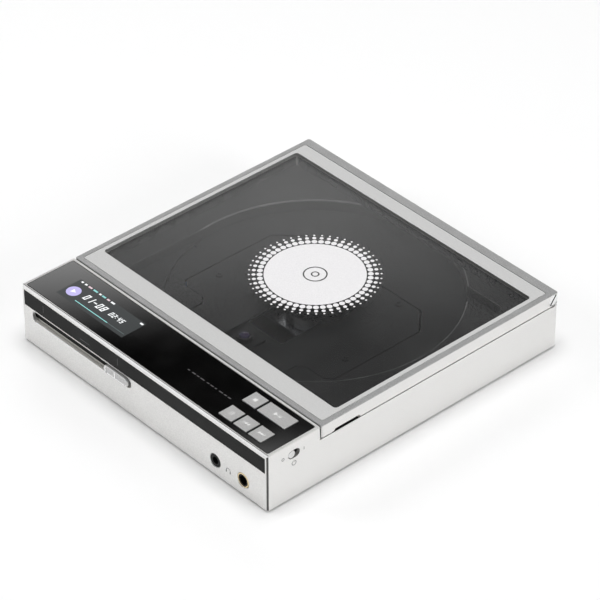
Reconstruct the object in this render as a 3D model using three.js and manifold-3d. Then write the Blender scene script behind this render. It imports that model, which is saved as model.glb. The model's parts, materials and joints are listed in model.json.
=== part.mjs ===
// A portable top-loading disc player: an aluminium base with a glass-topped lid on a rear hinge,
// a control panel with display and keys along the front, and a laser drive under the disc tray.
// Millimetres, +Z up. X runs along the front from left to right, Y from front to back.
// The base rests on its feet at Z = 0, and the group is shifted so that the origin is under the
// middle of the whole object, the proud volume knob included.
import * as THREE from "three";
import { mergeVertices } from "three/addons/utils/BufferGeometryUtils.js";
import Module from "manifold-3d";

const wasm = await Module();
wasm.setup();

// ---- driving dimensions ----
const WIDTH = 150;
const DEPTH = 158;
const HEIGHT = 28;
const FOOT_HEIGHT = 0.8;
const WALL = 1.6;
const EDGE = 0.6; // chamfer on the upright corners
const LIP = 0.3; // chamfer on the level edges
const GAP = 0.3; // clearance between neighbouring pieces
const LAP = 0.1; // how far shapes that are joined sink into each other
const OVER = 1; // how far a cut runs past the face that it opens
const BASE_TOP = 21.6; // top of the base walls behind the control panel
const LID_BOTTOM = 21.9;
const LID_FRONT = -50.9;
const PANEL_REAR = -51.7; // rear face of the control housing
const DISC_Y = 14.1; // the disc turns about X = 0, Y = DISC_Y
const WELL_R = 62.3; // a 120 mm disc with finger room
const WELL_FLOOR = 16;
const DECK = 21.3; // top of the disc tray
const HINGE = { y: 76.4, z: 24.9 };
const KNOB_PROUD = 1; // how far the volume knob stands out of the front

// ---- places worked out from them ----
const RIGHT = WIDTH / 2;
const REAR = DEPTH / 2;
const INNER_X = RIGHT - WALL;
const INNER_Y = REAR - WALL;
const SIDES = [
  ["left", -1],
  ["right", 1],
];
const ENDS = [
  ["front", -1],
  ["rear", 1],
];

// Base and bottom
const PANEL_RIM = 1.3;
const PANEL = { x: RIGHT - PANEL_RIM, front: -REAR + PANEL_RIM, rear: PANEL_REAR - 1.1 };
const PANEL_SEAT = { z: 26.5, corner: 0.8, under: 25.5, side: 2.2, along: 1.9 };
const TRAY_LEDGE = { top: 20.1, depth: 1.2, reach: 2.3 };
const HINGE_RELIEF = 3.65; // radius hollowed out of the base behind the turning lid
const BOSS = { x: 69.3, y: 73.3, half: 3.2, z0: 2.2, z1: 12, bore: 1.1 };
const BOTTOM = { z0: 1, z1: 2, corner: 1, hole: 1.2, sinkR: 2.3, sinkTop: 1.5 };
const BOTTOM_SCREW = { head: 2.1, headTop: 1.45, shank: 0.85, tip: 8, drive: 0.75, driveTop: 1.25 };
const FOOT = { x: 61, y: 65, r: 6 };
const BAND = { x: 73.6, z0: 19, z1: 26.1, seat: 0.9, thick: 0.75 };

// Disc tray and the drive's cover
const TRAY = { x: INNER_X - GAP, front: PANEL_REAR + GAP, rear: INNER_Y - GAP };
const TRAY_WALL = 1.2;
const TRAY_FLOOR = 1.4;
const TRAY_UNDER = TRAY_LEDGE.top + 0.15;
const WELL_SIDES = 72;
const SLED_SLOT = { x0: -7.4, x1: 13.6, front: -48.2 };
const HUB_HOLE = 17;
const FINGER_POCKET = { x0: 20, x1: 62, y0: 53.6, y1: 60.9, floor: 16.8, corner: 2.4 };
const CORNER_POCKET = { x0: -62, y0: -42, floor: 17, corner: 4 };
const COVER = { r: WELL_R - 1.6, top: WELL_FLOOR - 0.2, clear: 0.4 };
// Half of the cover's outline, from the middle of its front edge round to the middle of its rear.
const COVER_HALF = [
  [28.3, -52],
  [28.3, -22.2],
  [31.4, -19.4],
  [41.6, -19.4],
  [45, -16.6],
  [45, 30],
  [35, 40],
];
const MAGNET = { x: 58, y: -46.2, r: 2.4, clear: 0.15, strikeTop: 23.4 };

// Control panel
const GLASS = { thick: 1.25, clear: 0.25, corner: 0.6 };
const GLASS_UNDER = HEIGHT - GLASS.thick;
const KEY = { size: 7.45, proud: 0.35, skirt: 0.6, flange: 0.5, flangeZ0: 25.5, flangeZ1: 26.2 };
const KEY_STEM = 1.2;
const KEY_ROOM = 0.9; // between a keycap's stem and its switch
const KEY_ROWS = { upper: -59.2, lower: -71.4 };
const KEYS = [
  { name: "stop_button", x0: 42.2, x1: 42.2 + KEY.size, row: "upper" },
  { name: "play_button", x0: 50.8, x1: 66.8, row: "upper" },
  { name: "menu_button", x0: 42.2, x1: 42.2 + KEY.size, row: "lower" },
  { name: "previous_button", x0: 50.8, x1: 50.8 + KEY.size, row: "lower" },
  { name: "next_button", x0: 59.35, x1: 59.35 + KEY.size, row: "lower" },
];
const DISPLAY = { x0: -62.5, x1: -19, y0: -73, y1: -57.7, z0: 24 };
const FRONT_BOARD = { x0: -66, x1: 68.4, y0: -75.3, y1: -55.2, z0: 21.6, z1: 22.8 };
const KEY_SWITCH = { half: 1.9, top: 23.7 };

// Sliding controls
const VOLUME = { x: -37.55, z: 15.8, length: 62.5, height: 5.2 };
const VOLUME_KNOB = { x: -14.85, length: 14.9, height: 4.4, back: -77.35 };
const VOLUME_STEM = { half: 1.5, halfZ: 0.7, back: -73.8 };
const POT = { x0: -71, x1: -4, y0: -77, y1: -69.5, z0: 12.4, z1: 19.2 };
const POT_TRACK = { x0: -68.6, x1: -6.6, back: -73.2, half: 1.1 };
const POWER = { y: -65.3, z: 22.35, length: 6.1, height: 4 };
const POWER_KNOB = { y: -66.3, r: 1.72, sunk: 0.1 };
const POWER_TONGUE = { x: 71, half: 0.9, halfZ: 0.65 };
const POWER_BODY = { x0: 69.6, y0: -70, y1: -60.6, z0: 19.6, z1: 25.1 };
const POWER_TRACK = { x: 70.6, y0: -67.9, y1: -62.9, half: 1 };

// Sockets, boards and batteries
const SOCKET_Z = 7.85;
const SOCKET_SUNK = 0.05;
const SOCKET_CLEAR = 0.15;
const HOUSING_TOP = 11.5;
const JACKS = [
  { name: "jack_3_5", x: 44.3, ring: 3, bore: 1.75, box: 7.6, back: -64.5, metal: false },
  { name: "jack_4_4", x: 60.7, ring: 3.3, bore: 2.2, box: 8.4, back: -62, metal: true },
];
const JACK_FRONT = -76.9;
const JACK_BACK_WALL = 1.2;
const USB = { x: 34, length: 8.9, height: 3.2, y0: 70, shell: 0.35, clear: 0.25 };
const USB_TONGUE = { half: 3.3, halfZ: 0.35, y1: 77.6 };
const LINE_OUT = { x: 54, ring: 3, bore: 1.75, box: 7.6, y0: 65, y1: 76.9, z0: 5.6 };
const PORT_BOARD = { x0: 24, x1: 63, y0: 64, y1: 76.8, z0: 4.2, z1: 5.2 };
const MAIN_BOARD = { x: 65, y0: -76.5, y1: -60.5, z0: 2.9, z1: 4.1, chip: 1.2 };
const CHIPS = [
  [-52, -38, -74, -64],
  [-30, -21, -73, -65],
  [-10, 2, -74, -63],
  [12, 24, -72, -64],
];
const BATTERY = { x0: 48.6, x1: 71.5, y0: -44, y1: 50, z0: 2.4, z1: 14 };

// Laser drive
const LENS_Y = -24.5;
const SLED_IN = 14.6; // the lens moves this far towards the spindle
const SLED_OUT = 19.4; // and this far towards the rim of the disc
const FRAME = { x: 46, front: -59.4, rear: 42, z0: 5.4, z1: 6.8 };
const FRAME_WINDOW = { x0: -17, x1: 25, front: LENS_Y - SLED_OUT - 11, rear: LENS_Y + SLED_IN + 9.5 };
const RAIL_POST = { y: 0.2, thick: 2.4, top: 12.6, left: [-24, -17.6], right: [17.4, 31.5] };
const ROD = { x: 20.5, z: 10, r: 1.4, y0: -57.8, y1: 1.4, seat: 0.15, slide: 0.2 };
const SCREW = { x: 28, z: 10, r: 1.3, throw: 0.35, lead: 6, y0: -56, y1: -0.2 };
const SCREW_JOURNAL = { r: 0.9, y0: -58.2, y1: 4, bore: 1.15 };
const SLED = { x0: -15.6, x1: 16, half: 10, z0: 7.2, z1: 13.4 };
const ROD_GUIDE = { near: 15.5, far: 23.6, halfZ: 2.8, inset: 2, forkY: 3, forkX: 18, forkHalf: 1.7 };
const FOLLOWER = { x0: 22.4, x1: 29.5, above: 2.1, thick: 1.2 };
const TURRET = { half: 6, top: 14.4, collar: 3.4, collarTop: 16.6, bore: 2.5, boreFloor: 15.8 };
const LENS_PROFILE = [
  [0, 15.95],
  [2.2, 15.95],
  [2.2, 16.7],
  [1.4, 17.2],
  [0, 17.4],
];
const HUB_PROFILE = [
  [0, 14.3],
  [4, 14.3],
  [4, 16.9],
  [14, 16.9],
  [14, 18.3],
  [7.4, 18.3],
  [7.4, 19.3],
  [5.4, 20.3],
  [0, 20.3],
];
const HUB_PAD = { outer: 13.5, inner: 8.6, z0: 18.4, z1: 18.7 };
const SPINDLE_MOTOR = { r: 12, top: 13, shaft: 2.4, shaftTop: 13.9 };
const SLED_MOTOR = { r: 3, y0: 4.4, y1: 18 };
const DAMPERS = { x: 41, front: -46, rear: 36, r: 3 };

// Lid, its hinge and the disc clamp
const LID_GLASS = { x: 72.5, front: -48.5, rear: 74.5, thick: 1.6, corner: 1, clear: 0.2 };
const WINDOW = { x: 70.5, front: -39.6, rear: 67.8, corner: 1.6 };
const LID_TURN = 3.35; // radius of the lid's lower rear edge about the hinge
const EAR = { x0: 69.7, x1: 72.8, r: 1.7, half: 1.5 };
const EAR_POCKET = { y0: 74.4, z1: 26.95 };
const PIN = { head: 2.45, headX: 74, shank: 1, x0: 70.1, x1: RIGHT - 0.15, run: 0.2, press: 0.15 };
const PIN_SLOT = { wide: 0.7, deep: 0.8, long: 6, turn: -Math.PI / 5 };
const NOTCH = { x0: 72.2, y0: -45.5, y1: -30.5, top: 23.2, slope: 1.8, step: 0.2, depth: 9 };
const CLAMP_HOLDER = { outer: 12.5, inner: 10.6, mouth: 8.1, z0: 24.2, lip: 0.7 };
const PUCK = { r: 14.5, z0: 21, z1: 23.1, neck: 7.6, flange: 10.2, flangeZ0: 25.2, flangeZ1: 25.9 };
const PUCK_RECESS = { r: 8.2, top: 22.2 };
const CLAMP_PAD = { outer: 14, inner: 8.8, z0: 20.5, z1: 20.9 };

// ---- colours and finishes ----
const finish = (color, metalness, roughness) =>
  new THREE.MeshStandardMaterial({ color, metalness, roughness });
const ALUMINIUM = finish(0xc9cac9, 0.9, 0.4);
const LIGHT_METAL = finish(0xd6d6d4, 0.9, 0.3);
const STEEL = finish(0xa8abae, 0.95, 0.35);
const GOLD = finish(0xc9a45a, 0.95, 0.3);
const BLACK_GLASS = finish(0x0c0d0f, 0.1, 0.08);
const SMOKED_GLASS = finish(0x2c2f31, 0.1, 0.05);
const BLACK = finish(0x1b1c1e, 0, 0.6);
const DARK_GREY = finish(0x3a3c3f, 0, 0.5);
const RUBBER = finish(0x151515, 0, 0.9);
const BOARD = finish(0x14532f, 0.1, 0.6);
const CELL = finish(0x3f6d9c, 0.2, 0.5);
const LENS = finish(0x5a4a78, 0.1, 0.05);

// ---- solids ----
function solid(geometry) {
  geometry.deleteAttribute("normal");
  geometry.deleteAttribute("uv");
  const merged = mergeVertices(geometry, 1e-4);
  return new wasm.Manifold(
    new wasm.Mesh({
      numProp: 3,
      vertProperties: merged.attributes.position.array,
      triVerts: new Uint32Array(merged.index.array),
    }),
  );
}

const join = (shapes) => wasm.Manifold.union(shapes);

// A block between two values on each axis, in either order.
function block(xa, xb, ya, yb, za, zb) {
  const g = new THREE.BoxGeometry(Math.abs(xb - xa), Math.abs(yb - ya), Math.abs(zb - za));
  return solid(g.translate((xa + xb) / 2, (ya + yb) / 2, (za + zb) / 2));
}

// A block that reaches equally far to the left and to the right.
const wide = (x, y0, y1, z0, z1) => block(-x, x, y0, y1, z0, z1);

// A block around a point in plan.
const around = (x, y, half, z0, z1) => block(x - half, x + half, y - half, y + half, z0, z1);

// A plate of any outline between two heights; edge is the chamfer on its level edges.
function plate(outline, z0, z1, edge = 0, curveSegments = 12) {
  const g = new THREE.ExtrudeGeometry(outline, {
    depth: z1 - z0 - 2 * edge,
    bevelEnabled: edge > 0,
    bevelThickness: edge,
    bevelSize: edge,
    bevelOffset: -edge,
    bevelSegments: 1,
    curveSegments,
  });
  return solid(g.translate(0, 0, z0 + edge));
}

const vectors = (points) => points.map(([a, b]) => new THREE.Vector2(a, b));
const polygon = (points) => new THREE.Shape(vectors(points));

// A rectangle with its corners cut off at 45 degrees.
function cutCorners(x0, x1, y0, y1, c) {
  return polygon([
    [x0 + c, y0],
    [x1 - c, y0],
    [x1, y0 + c],
    [x1, y1 - c],
    [x1 - c, y1],
    [x0 + c, y1],
    [x0, y1 - c],
    [x0, y0 + c],
  ]);
}

function roundedCorners(x0, x1, y0, y1, r) {
  const s = new THREE.Shape();
  s.moveTo(x0 + r, y0);
  s.lineTo(x1 - r, y0);
  s.absarc(x1 - r, y0 + r, r, -Math.PI / 2, 0);
  s.lineTo(x1, y1 - r);
  s.absarc(x1 - r, y1 - r, r, 0, Math.PI / 2);
  s.lineTo(x0 + r, y1);
  s.absarc(x0 + r, y1 - r, r, Math.PI / 2, Math.PI);
  s.lineTo(x0, y0 + r);
  s.absarc(x0 + r, y0 + r, r, Math.PI, 1.5 * Math.PI);
  return s;
}

function round(r, x, y, z0, z1, sides = 32) {
  const g = new THREE.CylinderGeometry(r, r, z1 - z0, sides);
  return solid(g.rotateX(Math.PI / 2).translate(x, y, (z0 + z1) / 2));
}

function roundAlongY(r, x, z, y0, y1, sides = 24) {
  const g = new THREE.CylinderGeometry(r, r, y1 - y0, sides);
  return solid(g.translate(x, (y0 + y1) / 2, z));
}

function roundAlongX(r, y, z, xa, xb, sides = 24) {
  const g = new THREE.CylinderGeometry(r, r, Math.abs(xb - xa), sides);
  return solid(g.rotateZ(Math.PI / 2).translate((xa + xb) / 2, y, z));
}

// A slot with round ends, cut through along Y: centre x and z, overall length and height.
function slotAlongY(x, z, length, height, y0, y1) {
  const r = height / 2;
  const end = length / 2 - r;
  return join([
    block(x - end, x + end, y0, y1, z - r, z + r),
    roundAlongY(r, x - end, z, y0, y1),
    roundAlongY(r, x + end, z, y0, y1),
  ]);
}

function slotAlongX(y, z, length, height, x0, x1) {
  const r = height / 2;
  const end = length / 2 - r;
  return join([
    block(x0, x1, y - end, y + end, z - r, z + r),
    roundAlongX(r, y - end, z, x0, x1),
    roundAlongX(r, y + end, z, x0, x1),
  ]);
}

function ring(outer, inner, x, y, z0, z1, sides = 36) {
  const hole = round(inner, x, y, z0 - OVER, z1 + OVER, sides);
  return round(outer, x, y, z0, z1, sides).subtract(hole);
}

// A turned solid about an upright axis, from its half section of radii and heights.
function turned(profile, y, sides) {
  const g = new THREE.LatheGeometry(vectors(profile), sides);
  return solid(g.rotateX(Math.PI / 2).translate(0, y, 0));
}

const player = new THREE.Group();
player.position.y = KNOB_PROUD / 2;

function piece(name, shape, material) {
  const m = shape.getMesh();
  const g = new THREE.BufferGeometry();
  g.setAttribute("position", new THREE.BufferAttribute(new Float32Array(m.vertProperties), 3));
  g.setIndex(new THREE.BufferAttribute(new Uint32Array(m.triVerts), 1));
  g.computeVertexNormals();
  const mesh = new THREE.Mesh(g, material);
  mesh.name = name;
  player.add(mesh);
}

// The four corners of the base, where its screws, feet and dampers repeat.
function corners() {
  const list = [];
  for (const [across, sx] of SIDES)
    for (const [along, sy] of ENDS)
      list.push({ name: along + "_" + across, sx, sy });
  return list;
}

// ---- base ----
function baseShell() {
  const ledgeUnder = TRAY_LEDGE.top - TRAY_LEDGE.depth;
  const insideX = INNER_X - TRAY_LEDGE.reach;
  const insideFront = PANEL_REAR + TRAY_LEDGE.reach;
  const insideRear = INNER_Y - TRAY_LEDGE.reach;
  const deck = PANEL_SEAT;
  const rim = roundedCorners(-PANEL.x, PANEL.x, PANEL.front, PANEL.rear, deck.corner);
  const cuts = [
    // The rear two thirds stop at the seam under the lid.
    wide(RIGHT + OVER, PANEL_REAR, REAR + OVER, BASE_TOP, HEIGHT + OVER),
    roundAlongX(HINGE_RELIEF, HINGE.y, HINGE.z, -RIGHT - OVER, RIGHT + OVER, 64),
    // The hollow under the control panel, the window in its deck, and the seat of the glass.
    wide(INNER_X, -INNER_Y, PANEL.rear, 0, deck.under),
    wide(PANEL.x - deck.side, PANEL.front + deck.along, PANEL.rear - deck.along, 0, HEIGHT),
    plate(rim, deck.z, HEIGHT + OVER, 0, 3),
    // The hollow behind it, with the ledge that carries the tray.
    wide(INNER_X, PANEL.rear - OVER, INNER_Y, 0, ledgeUnder),
    wide(insideX, insideFront, insideRear, 0, HEIGHT),
    wide(INNER_X, PANEL_REAR, INNER_Y, TRAY_LEDGE.top, HEIGHT),
  ];
  const outline = cutCorners(-RIGHT, RIGHT, -REAR, REAR, EDGE);
  const shell = plate(outline, FOOT_HEIGHT, HEIGHT, LIP).subtract(join(cuts));
  return shell.add(join(corners().map(screwBoss))).subtract(join(wallOpenings()));
}

// A square pillar in a corner of the base, with a blind hole for the bottom screw.
function screwBoss({ sx, sy }) {
  const x = sx * BOSS.x;
  const y = sy * BOSS.y;
  const wallX = sx * (INNER_X + 2 * LAP);
  const wallY = sy * (INNER_Y + 2 * LAP);
  const pillar = block(x - sx * BOSS.half, wallX, y - sy * BOSS.half, wallY, BOSS.z0, BOSS.z1);
  return pillar.subtract(round(BOSS.bore, x, y, BOSS.z0 - OVER, BOSS.z1 - 2, 16));
}

// The slots and holes in the base's front, right and rear walls.
function wallOpenings() {
  const front = [-REAR - OVER, -INNER_Y + OVER];
  const rear = [INNER_Y - OVER, REAR + OVER];
  const v = VOLUME;
  const p = POWER;
  return [
    slotAlongY(v.x, v.z, v.length, v.height, ...front),
    wide(BAND.x, -REAR - OVER, -REAR + BAND.seat, BAND.z0 - LAP, BAND.z1 + LAP),
    slotAlongX(p.y, p.z, p.length, p.height, INNER_X - OVER, RIGHT + OVER),
    ...JACKS.map((j) => roundAlongY(j.ring + SOCKET_CLEAR, j.x, SOCKET_Z, ...front, 32)),
    slotAlongY(USB.x, SOCKET_Z, USB.length + 2 * USB.clear, USB.height + 2 * USB.clear, ...rear),
    roundAlongY(LINE_OUT.ring + SOCKET_CLEAR, LINE_OUT.x, SOCKET_Z, ...rear, 32),
  ];
}

function bottomPlate() {
  const x = INNER_X - GAP;
  const y = INNER_Y - GAP;
  const holes = corners().flatMap(({ sx, sy }) => [
    round(BOTTOM.hole, sx * BOSS.x, sy * BOSS.y, 0, BOTTOM.z1 + OVER, 16),
    round(BOTTOM.sinkR, sx * BOSS.x, sy * BOSS.y, 0, BOTTOM.sinkTop, 24),
  ]);
  const sheet = plate(cutCorners(-x, x, -y, y, BOTTOM.corner), BOTTOM.z0, BOTTOM.z1);
  return sheet.subtract(join(holes));
}

function bottomScrew({ sx, sy }) {
  const s = BOTTOM_SCREW;
  const at = [sx * BOSS.x, sy * BOSS.y];
  const head = round(s.head, ...at, BOTTOM.z0, s.headTop, 24);
  const shank = round(s.shank, ...at, s.headTop - LAP / 2, s.tip, 16);
  return head.add(shank).subtract(round(s.drive, ...at, 0, s.driveTop, 6));
}

function addBase() {
  piece("base_shell", baseShell(), ALUMINIUM);
  piece("bottom_plate", bottomPlate(), ALUMINIUM);
  for (const corner of corners()) {
    const foot = round(FOOT.r, corner.sx * FOOT.x, corner.sy * FOOT.y, 0, BOTTOM.z0 - LAP, 32);
    piece("bottom_screw_" + corner.name, bottomScrew(corner), STEEL);
    piece("foot_" + corner.name, foot, RUBBER);
  }
  const band = wide(BAND.x - LAP, -REAR, -REAR + BAND.thick, BAND.z0, BAND.z1);
  piece("front_band", band, DARK_GREY);
}

// ---- tray and the drive's cover ----
function coverOutline(grow) {
  const right = COVER_HALF.map(([x, y]) => [x + grow, y + Math.sign(y) * grow]);
  const left = right.map(([x, y]) => [-x, y]).reverse();
  return polygon([...right, ...left]);
}

function coverShape(grow, z0, z1) {
  const disc = round(COVER.r + grow, 0, DISC_Y, z0, z1, WELL_SIDES);
  return plate(coverOutline(grow), z0, z1).intersect(disc);
}

function fingerPocket(grow, z0, z1) {
  const { x0, x1, y0, y1, corner } = FINGER_POCKET;
  const outline = roundedCorners(x0, x1 + grow, y0 - grow, y1 + grow, corner + grow);
  return plate(outline, z0, z1, 0, 5);
}

function cornerPocket(grow, z0, z1) {
  const { x0, y0, corner } = CORNER_POCKET;
  const outline = roundedCorners(x0 - grow, 0, y0 - grow, DISC_Y, corner + grow);
  return plate(outline, z0, z1, 0, 5);
}

// A deck with a round bowl and two pockets let down into it, all of them thin-walled.
function discTray() {
  const rear = INNER_Y - TRAY_LEDGE.reach - GAP;
  const top = TRAY_UNDER + LAP;
  const bowls = join([
    round(WELL_R + TRAY_WALL, 0, DISC_Y, WELL_FLOOR - TRAY_FLOOR, top, WELL_SIDES),
    fingerPocket(TRAY_WALL, FINGER_POCKET.floor - TRAY_FLOOR, top),
    cornerPocket(TRAY_WALL, CORNER_POCKET.floor - TRAY_FLOOR, top),
  ]);
  const well = round(WELL_R, 0, DISC_Y, WELL_FLOOR, HEIGHT, WELL_SIDES);
  const hollows = [
    well.intersect(wide(TRAY.x, TRAY.front, rear - TRAY_WALL, 0, HEIGHT)),
    fingerPocket(0, FINGER_POCKET.floor, HEIGHT),
    cornerPocket(0, CORNER_POCKET.floor, HEIGHT),
    coverShape(COVER.clear, 0, HEIGHT),
    block(SLED_SLOT.x0, SLED_SLOT.x1, SLED_SLOT.front, DISC_Y, 0, WELL_FLOOR + LAP),
    ...SIDES.flatMap(([, s]) => [hingeClearance(s), magnetSeat(s)]),
  ];
  return wide(TRAY.x, TRAY.front, TRAY.rear, TRAY_UNDER, DECK)
    .add(bowls.intersect(wide(TRAY.x, TRAY.front, rear, 0, HEIGHT)))
    .subtract(join(hollows));
}

const hingeClearance = (s) =>
  block(s * (EAR.x0 - 0.4), s * (TRAY.x + OVER), EAR_POCKET.y0 - 0.4, REAR, 0, HEIGHT);

const magnetSeat = (s) =>
  round(MAGNET.r + MAGNET.clear, s * MAGNET.x, MAGNET.y, TRAY_UNDER + 0.25, HEIGHT, 24);

function mechCover() {
  const slot = block(SLED_SLOT.x0, SLED_SLOT.x1, SLED_SLOT.front, DISC_Y, 0, HEIGHT);
  const hub = round(HUB_HOLE, 0, DISC_Y, 0, HEIGHT, 48);
  return coverShape(0, WELL_FLOOR - TRAY_FLOOR, COVER.top).subtract(slot.add(hub));
}

function addTray() {
  piece("disc_tray", discTray(), BLACK);
  piece("mech_cover", mechCover(), BLACK);
  for (const [side, s] of SIDES) {
    const magnet = round(MAGNET.r, s * MAGNET.x, MAGNET.y, TRAY_UNDER + GAP, DECK, 24);
    piece("catch_magnet_" + side, magnet, STEEL);
  }
}

// ---- control panel ----
// A square-edged metal cap with a flange under the glass and a stem over its switch.
function keycap({ x0, x1, row }) {
  const y = KEY_ROWS[row];
  const half = KEY.size / 2;
  const f = KEY.flange;
  const stemFoot = KEY_SWITCH.top + KEY_ROOM;
  return join([
    block(x0, x1, y - half, y + half, GLASS_UNDER - KEY.skirt, HEIGHT + KEY.proud),
    block(x0 - f, x1 + f, y - half - f, y + half + f, KEY.flangeZ0, KEY.flangeZ1),
    round(KEY_STEM, (x0 + x1) / 2, y, stemFoot, KEY.flangeZ0 + LAP, 16),
  ]);
}

function controlGlass() {
  const c = GLASS.clear;
  const half = KEY.size / 2 + c;
  const outline = roundedCorners(
    -PANEL.x + c,
    PANEL.x - c,
    PANEL.front + c,
    PANEL.rear - c,
    GLASS.corner,
  );
  const holes = KEYS.map(({ x0, x1, row }) => {
    const y = KEY_ROWS[row];
    return block(x0 - c, x1 + c, y - half, y + half, 0, HEIGHT + OVER);
  });
  return plate(outline, GLASS_UNDER, HEIGHT, 0, 3).subtract(join(holes));
}

function frontBoard() {
  const b = FRONT_BOARD;
  const { half, top } = KEY_SWITCH;
  const switches = KEYS.map(({ x0, x1, row }) =>
    around((x0 + x1) / 2, KEY_ROWS[row], half, b.z1 - LAP, top),
  );
  return block(b.x0, b.x1, b.y0, b.y1, b.z0, b.z1).add(join(switches));
}

function addPanel() {
  const d = DISPLAY;
  const module = block(d.x0, d.x1, d.y0, d.y1, d.z0, GLASS_UNDER - GAP);
  for (const key of KEYS) piece(key.name, keycap(key), LIGHT_METAL);
  piece("control_glass", controlGlass(), BLACK_GLASS);
  piece("display_module", module, BLACK);
  piece("front_board", frontBoard(), BOARD);
}

// ---- sliding controls on the front and right walls ----
function volumePot() {
  const p = POT;
  const t = POT_TRACK;
  const track = block(t.x0, t.x1, p.y0 - OVER, t.back, VOLUME.z - t.half, VOLUME.z + t.half);
  return block(p.x0, p.x1, p.y0, p.y1, p.z0, p.z1).subtract(track);
}

function volumeKnob() {
  const { x, length, height, back } = VOLUME_KNOB;
  const { z } = VOLUME;
  const s = VOLUME_STEM;
  const stem = block(x - s.half, x + s.half, s.back, back - LAP / 2, z - s.halfZ, z + s.halfZ);
  return slotAlongY(x, z, length, height, -REAR - KNOB_PROUD, back).add(stem);
}

function powerSwitch() {
  const b = POWER_BODY;
  const t = POWER_TRACK;
  const body = block(b.x0, INNER_X - 2 * LAP, b.y0, b.y1, b.z0, b.z1);
  return body.subtract(block(t.x, RIGHT, t.y0, t.y1, POWER.z - t.half, POWER.z + t.half));
}

function powerKnob() {
  const { y, r, sunk } = POWER_KNOB;
  const { x, half, halfZ } = POWER_TONGUE;
  const back = INNER_X + 2 * LAP;
  const tongue = block(x, back + LAP, y - half, y + half, POWER.z - halfZ, POWER.z + halfZ);
  return roundAlongX(r, y, POWER.z, back, RIGHT - sunk, 32).add(tongue);
}

function addSliders() {
  piece("slide_potentiometer", volumePot(), DARK_GREY);
  piece("volume_knob", volumeKnob(), LIGHT_METAL);
  piece("power_switch_body", powerSwitch(), BLACK);
  piece("power_knob", powerKnob(), LIGHT_METAL);
}

// ---- sockets ----
function headphoneJack({ x, ring: outer, bore, box, back }) {
  const fromBoard = MAIN_BOARD.z1 + GAP;
  const housing = block(x - box / 2, x + box / 2, JACK_FRONT, back, fromBoard, HOUSING_TOP);
  const barrel = roundAlongY(outer, x, SOCKET_Z, -REAR + SOCKET_SUNK, JACK_FRONT + LAP, 32);
  const hole = roundAlongY(bore, x, SOCKET_Z, -REAR - OVER, back - JACK_BACK_WALL, 24);
  return housing.add(barrel).subtract(hole);
}

function usbPort() {
  const { x, length, height, y0, shell } = USB;
  const t = USB_TONGUE;
  const inner = [length - 2 * shell, height - 2 * shell];
  const mouth = slotAlongY(x, SOCKET_Z, ...inner, y0 + JACK_BACK_WALL, REAR + OVER);
  const z = [SOCKET_Z - t.halfZ, SOCKET_Z + t.halfZ];
  return slotAlongY(x, SOCKET_Z, length, height, y0, REAR - SOCKET_SUNK)
    .subtract(mouth)
    .add(block(x - t.half, x + t.half, y0 + OVER, t.y1, ...z));
}

function digitalOut() {
  const { x, ring: outer, bore, box, y0, y1, z0 } = LINE_OUT;
  const housing = block(x - box / 2, x + box / 2, y0, y1, z0, HOUSING_TOP);
  const barrel = roundAlongY(outer, x, SOCKET_Z, y1 - LAP, REAR - SOCKET_SUNK, 32);
  const hole = roundAlongY(bore, x, SOCKET_Z, y0 + JACK_BACK_WALL, REAR + OVER, 24);
  return housing.add(barrel).subtract(hole);
}

function addSockets() {
  for (const jack of JACKS) piece(jack.name, headphoneJack(jack), jack.metal ? GOLD : BLACK);
  piece("usb_port", usbPort(), STEEL);
  piece("digital_out_jack", digitalOut(), BLACK);
}

// ---- boards and batteries ----
function addElectronics() {
  const m = MAIN_BOARD;
  const chips = CHIPS.map((plan) => block(...plan, m.z1 - LAP, m.z1 + m.chip));
  piece("main_board", wide(m.x, m.y0, m.y1, m.z0, m.z1).add(join(chips)), BOARD);
  const p = PORT_BOARD;
  piece("port_board", block(p.x0, p.x1, p.y0, p.y1, p.z0, p.z1), BOARD);
  const b = BATTERY;
  for (const [side, s] of SIDES)
    piece("battery_" + side, block(s * b.x0, s * b.x1, b.y0, b.y1, b.z0, b.z1), CELL);
}

// ---- disc drive ----
// A plate with a window for the sled, and posts that hold the guide rods and the lead screw.
function mechFrame() {
  const f = FRAME;
  const post = RAIL_POST;
  const w = FRAME_WINDOW;
  const posts = [post.left, post.right].flatMap((x) =>
    [f.front, post.y].map((y) => block(...x, y, y + post.thick, f.z1 - LAP, post.top)),
  );
  const holes = [-ROD.x, ROD.x].map((x) =>
    roundAlongY(ROD.r + ROD.seat, x, ROD.z, ROD.y0 - ROD.seat, ROD.y1 + ROD.seat),
  );
  const j = SCREW_JOURNAL;
  holes.push(roundAlongY(j.bore, SCREW.x, SCREW.z, j.y0 - ROD.seat, j.y1 + OVER, 16));
  return wide(f.x, f.front, f.rear, f.z0, f.z1)
    .subtract(block(w.x0, w.x1, w.front, w.rear, 0, f.z1 + OVER))
    .add(join(posts))
    .subtract(join(holes));
}

// A single right-handed start: a round section set off the axis and carried round it.
function threadedBar() {
  const length = SCREW.y1 - SCREW.y0;
  const outline = new THREE.Shape();
  outline.absarc(SCREW.throw, 0, SCREW.r, 0, 2 * Math.PI);
  const g = new THREE.ExtrudeGeometry(outline, {
    depth: length,
    steps: Math.ceil((length / SCREW.lead) * 8),
    curveSegments: 4,
    bevelEnabled: false,
  });
  const p = g.attributes.position;
  const axis = new THREE.Vector3(0, 0, 1);
  for (let i = 0; i < p.count; i++) {
    const at = new THREE.Vector3().fromBufferAttribute(p, i);
    at.applyAxisAngle(axis, (2 * Math.PI * at.z) / SCREW.lead);
    p.setXYZ(i, at.x, at.y, at.z);
  }
  return solid(g.rotateX(-Math.PI / 2).translate(SCREW.x, SCREW.y0, SCREW.z));
}

function leadScrew() {
  const j = SCREW_JOURNAL;
  return threadedBar().add(roundAlongY(j.r, SCREW.x, SCREW.z, j.y0, j.y1, 12));
}

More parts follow.
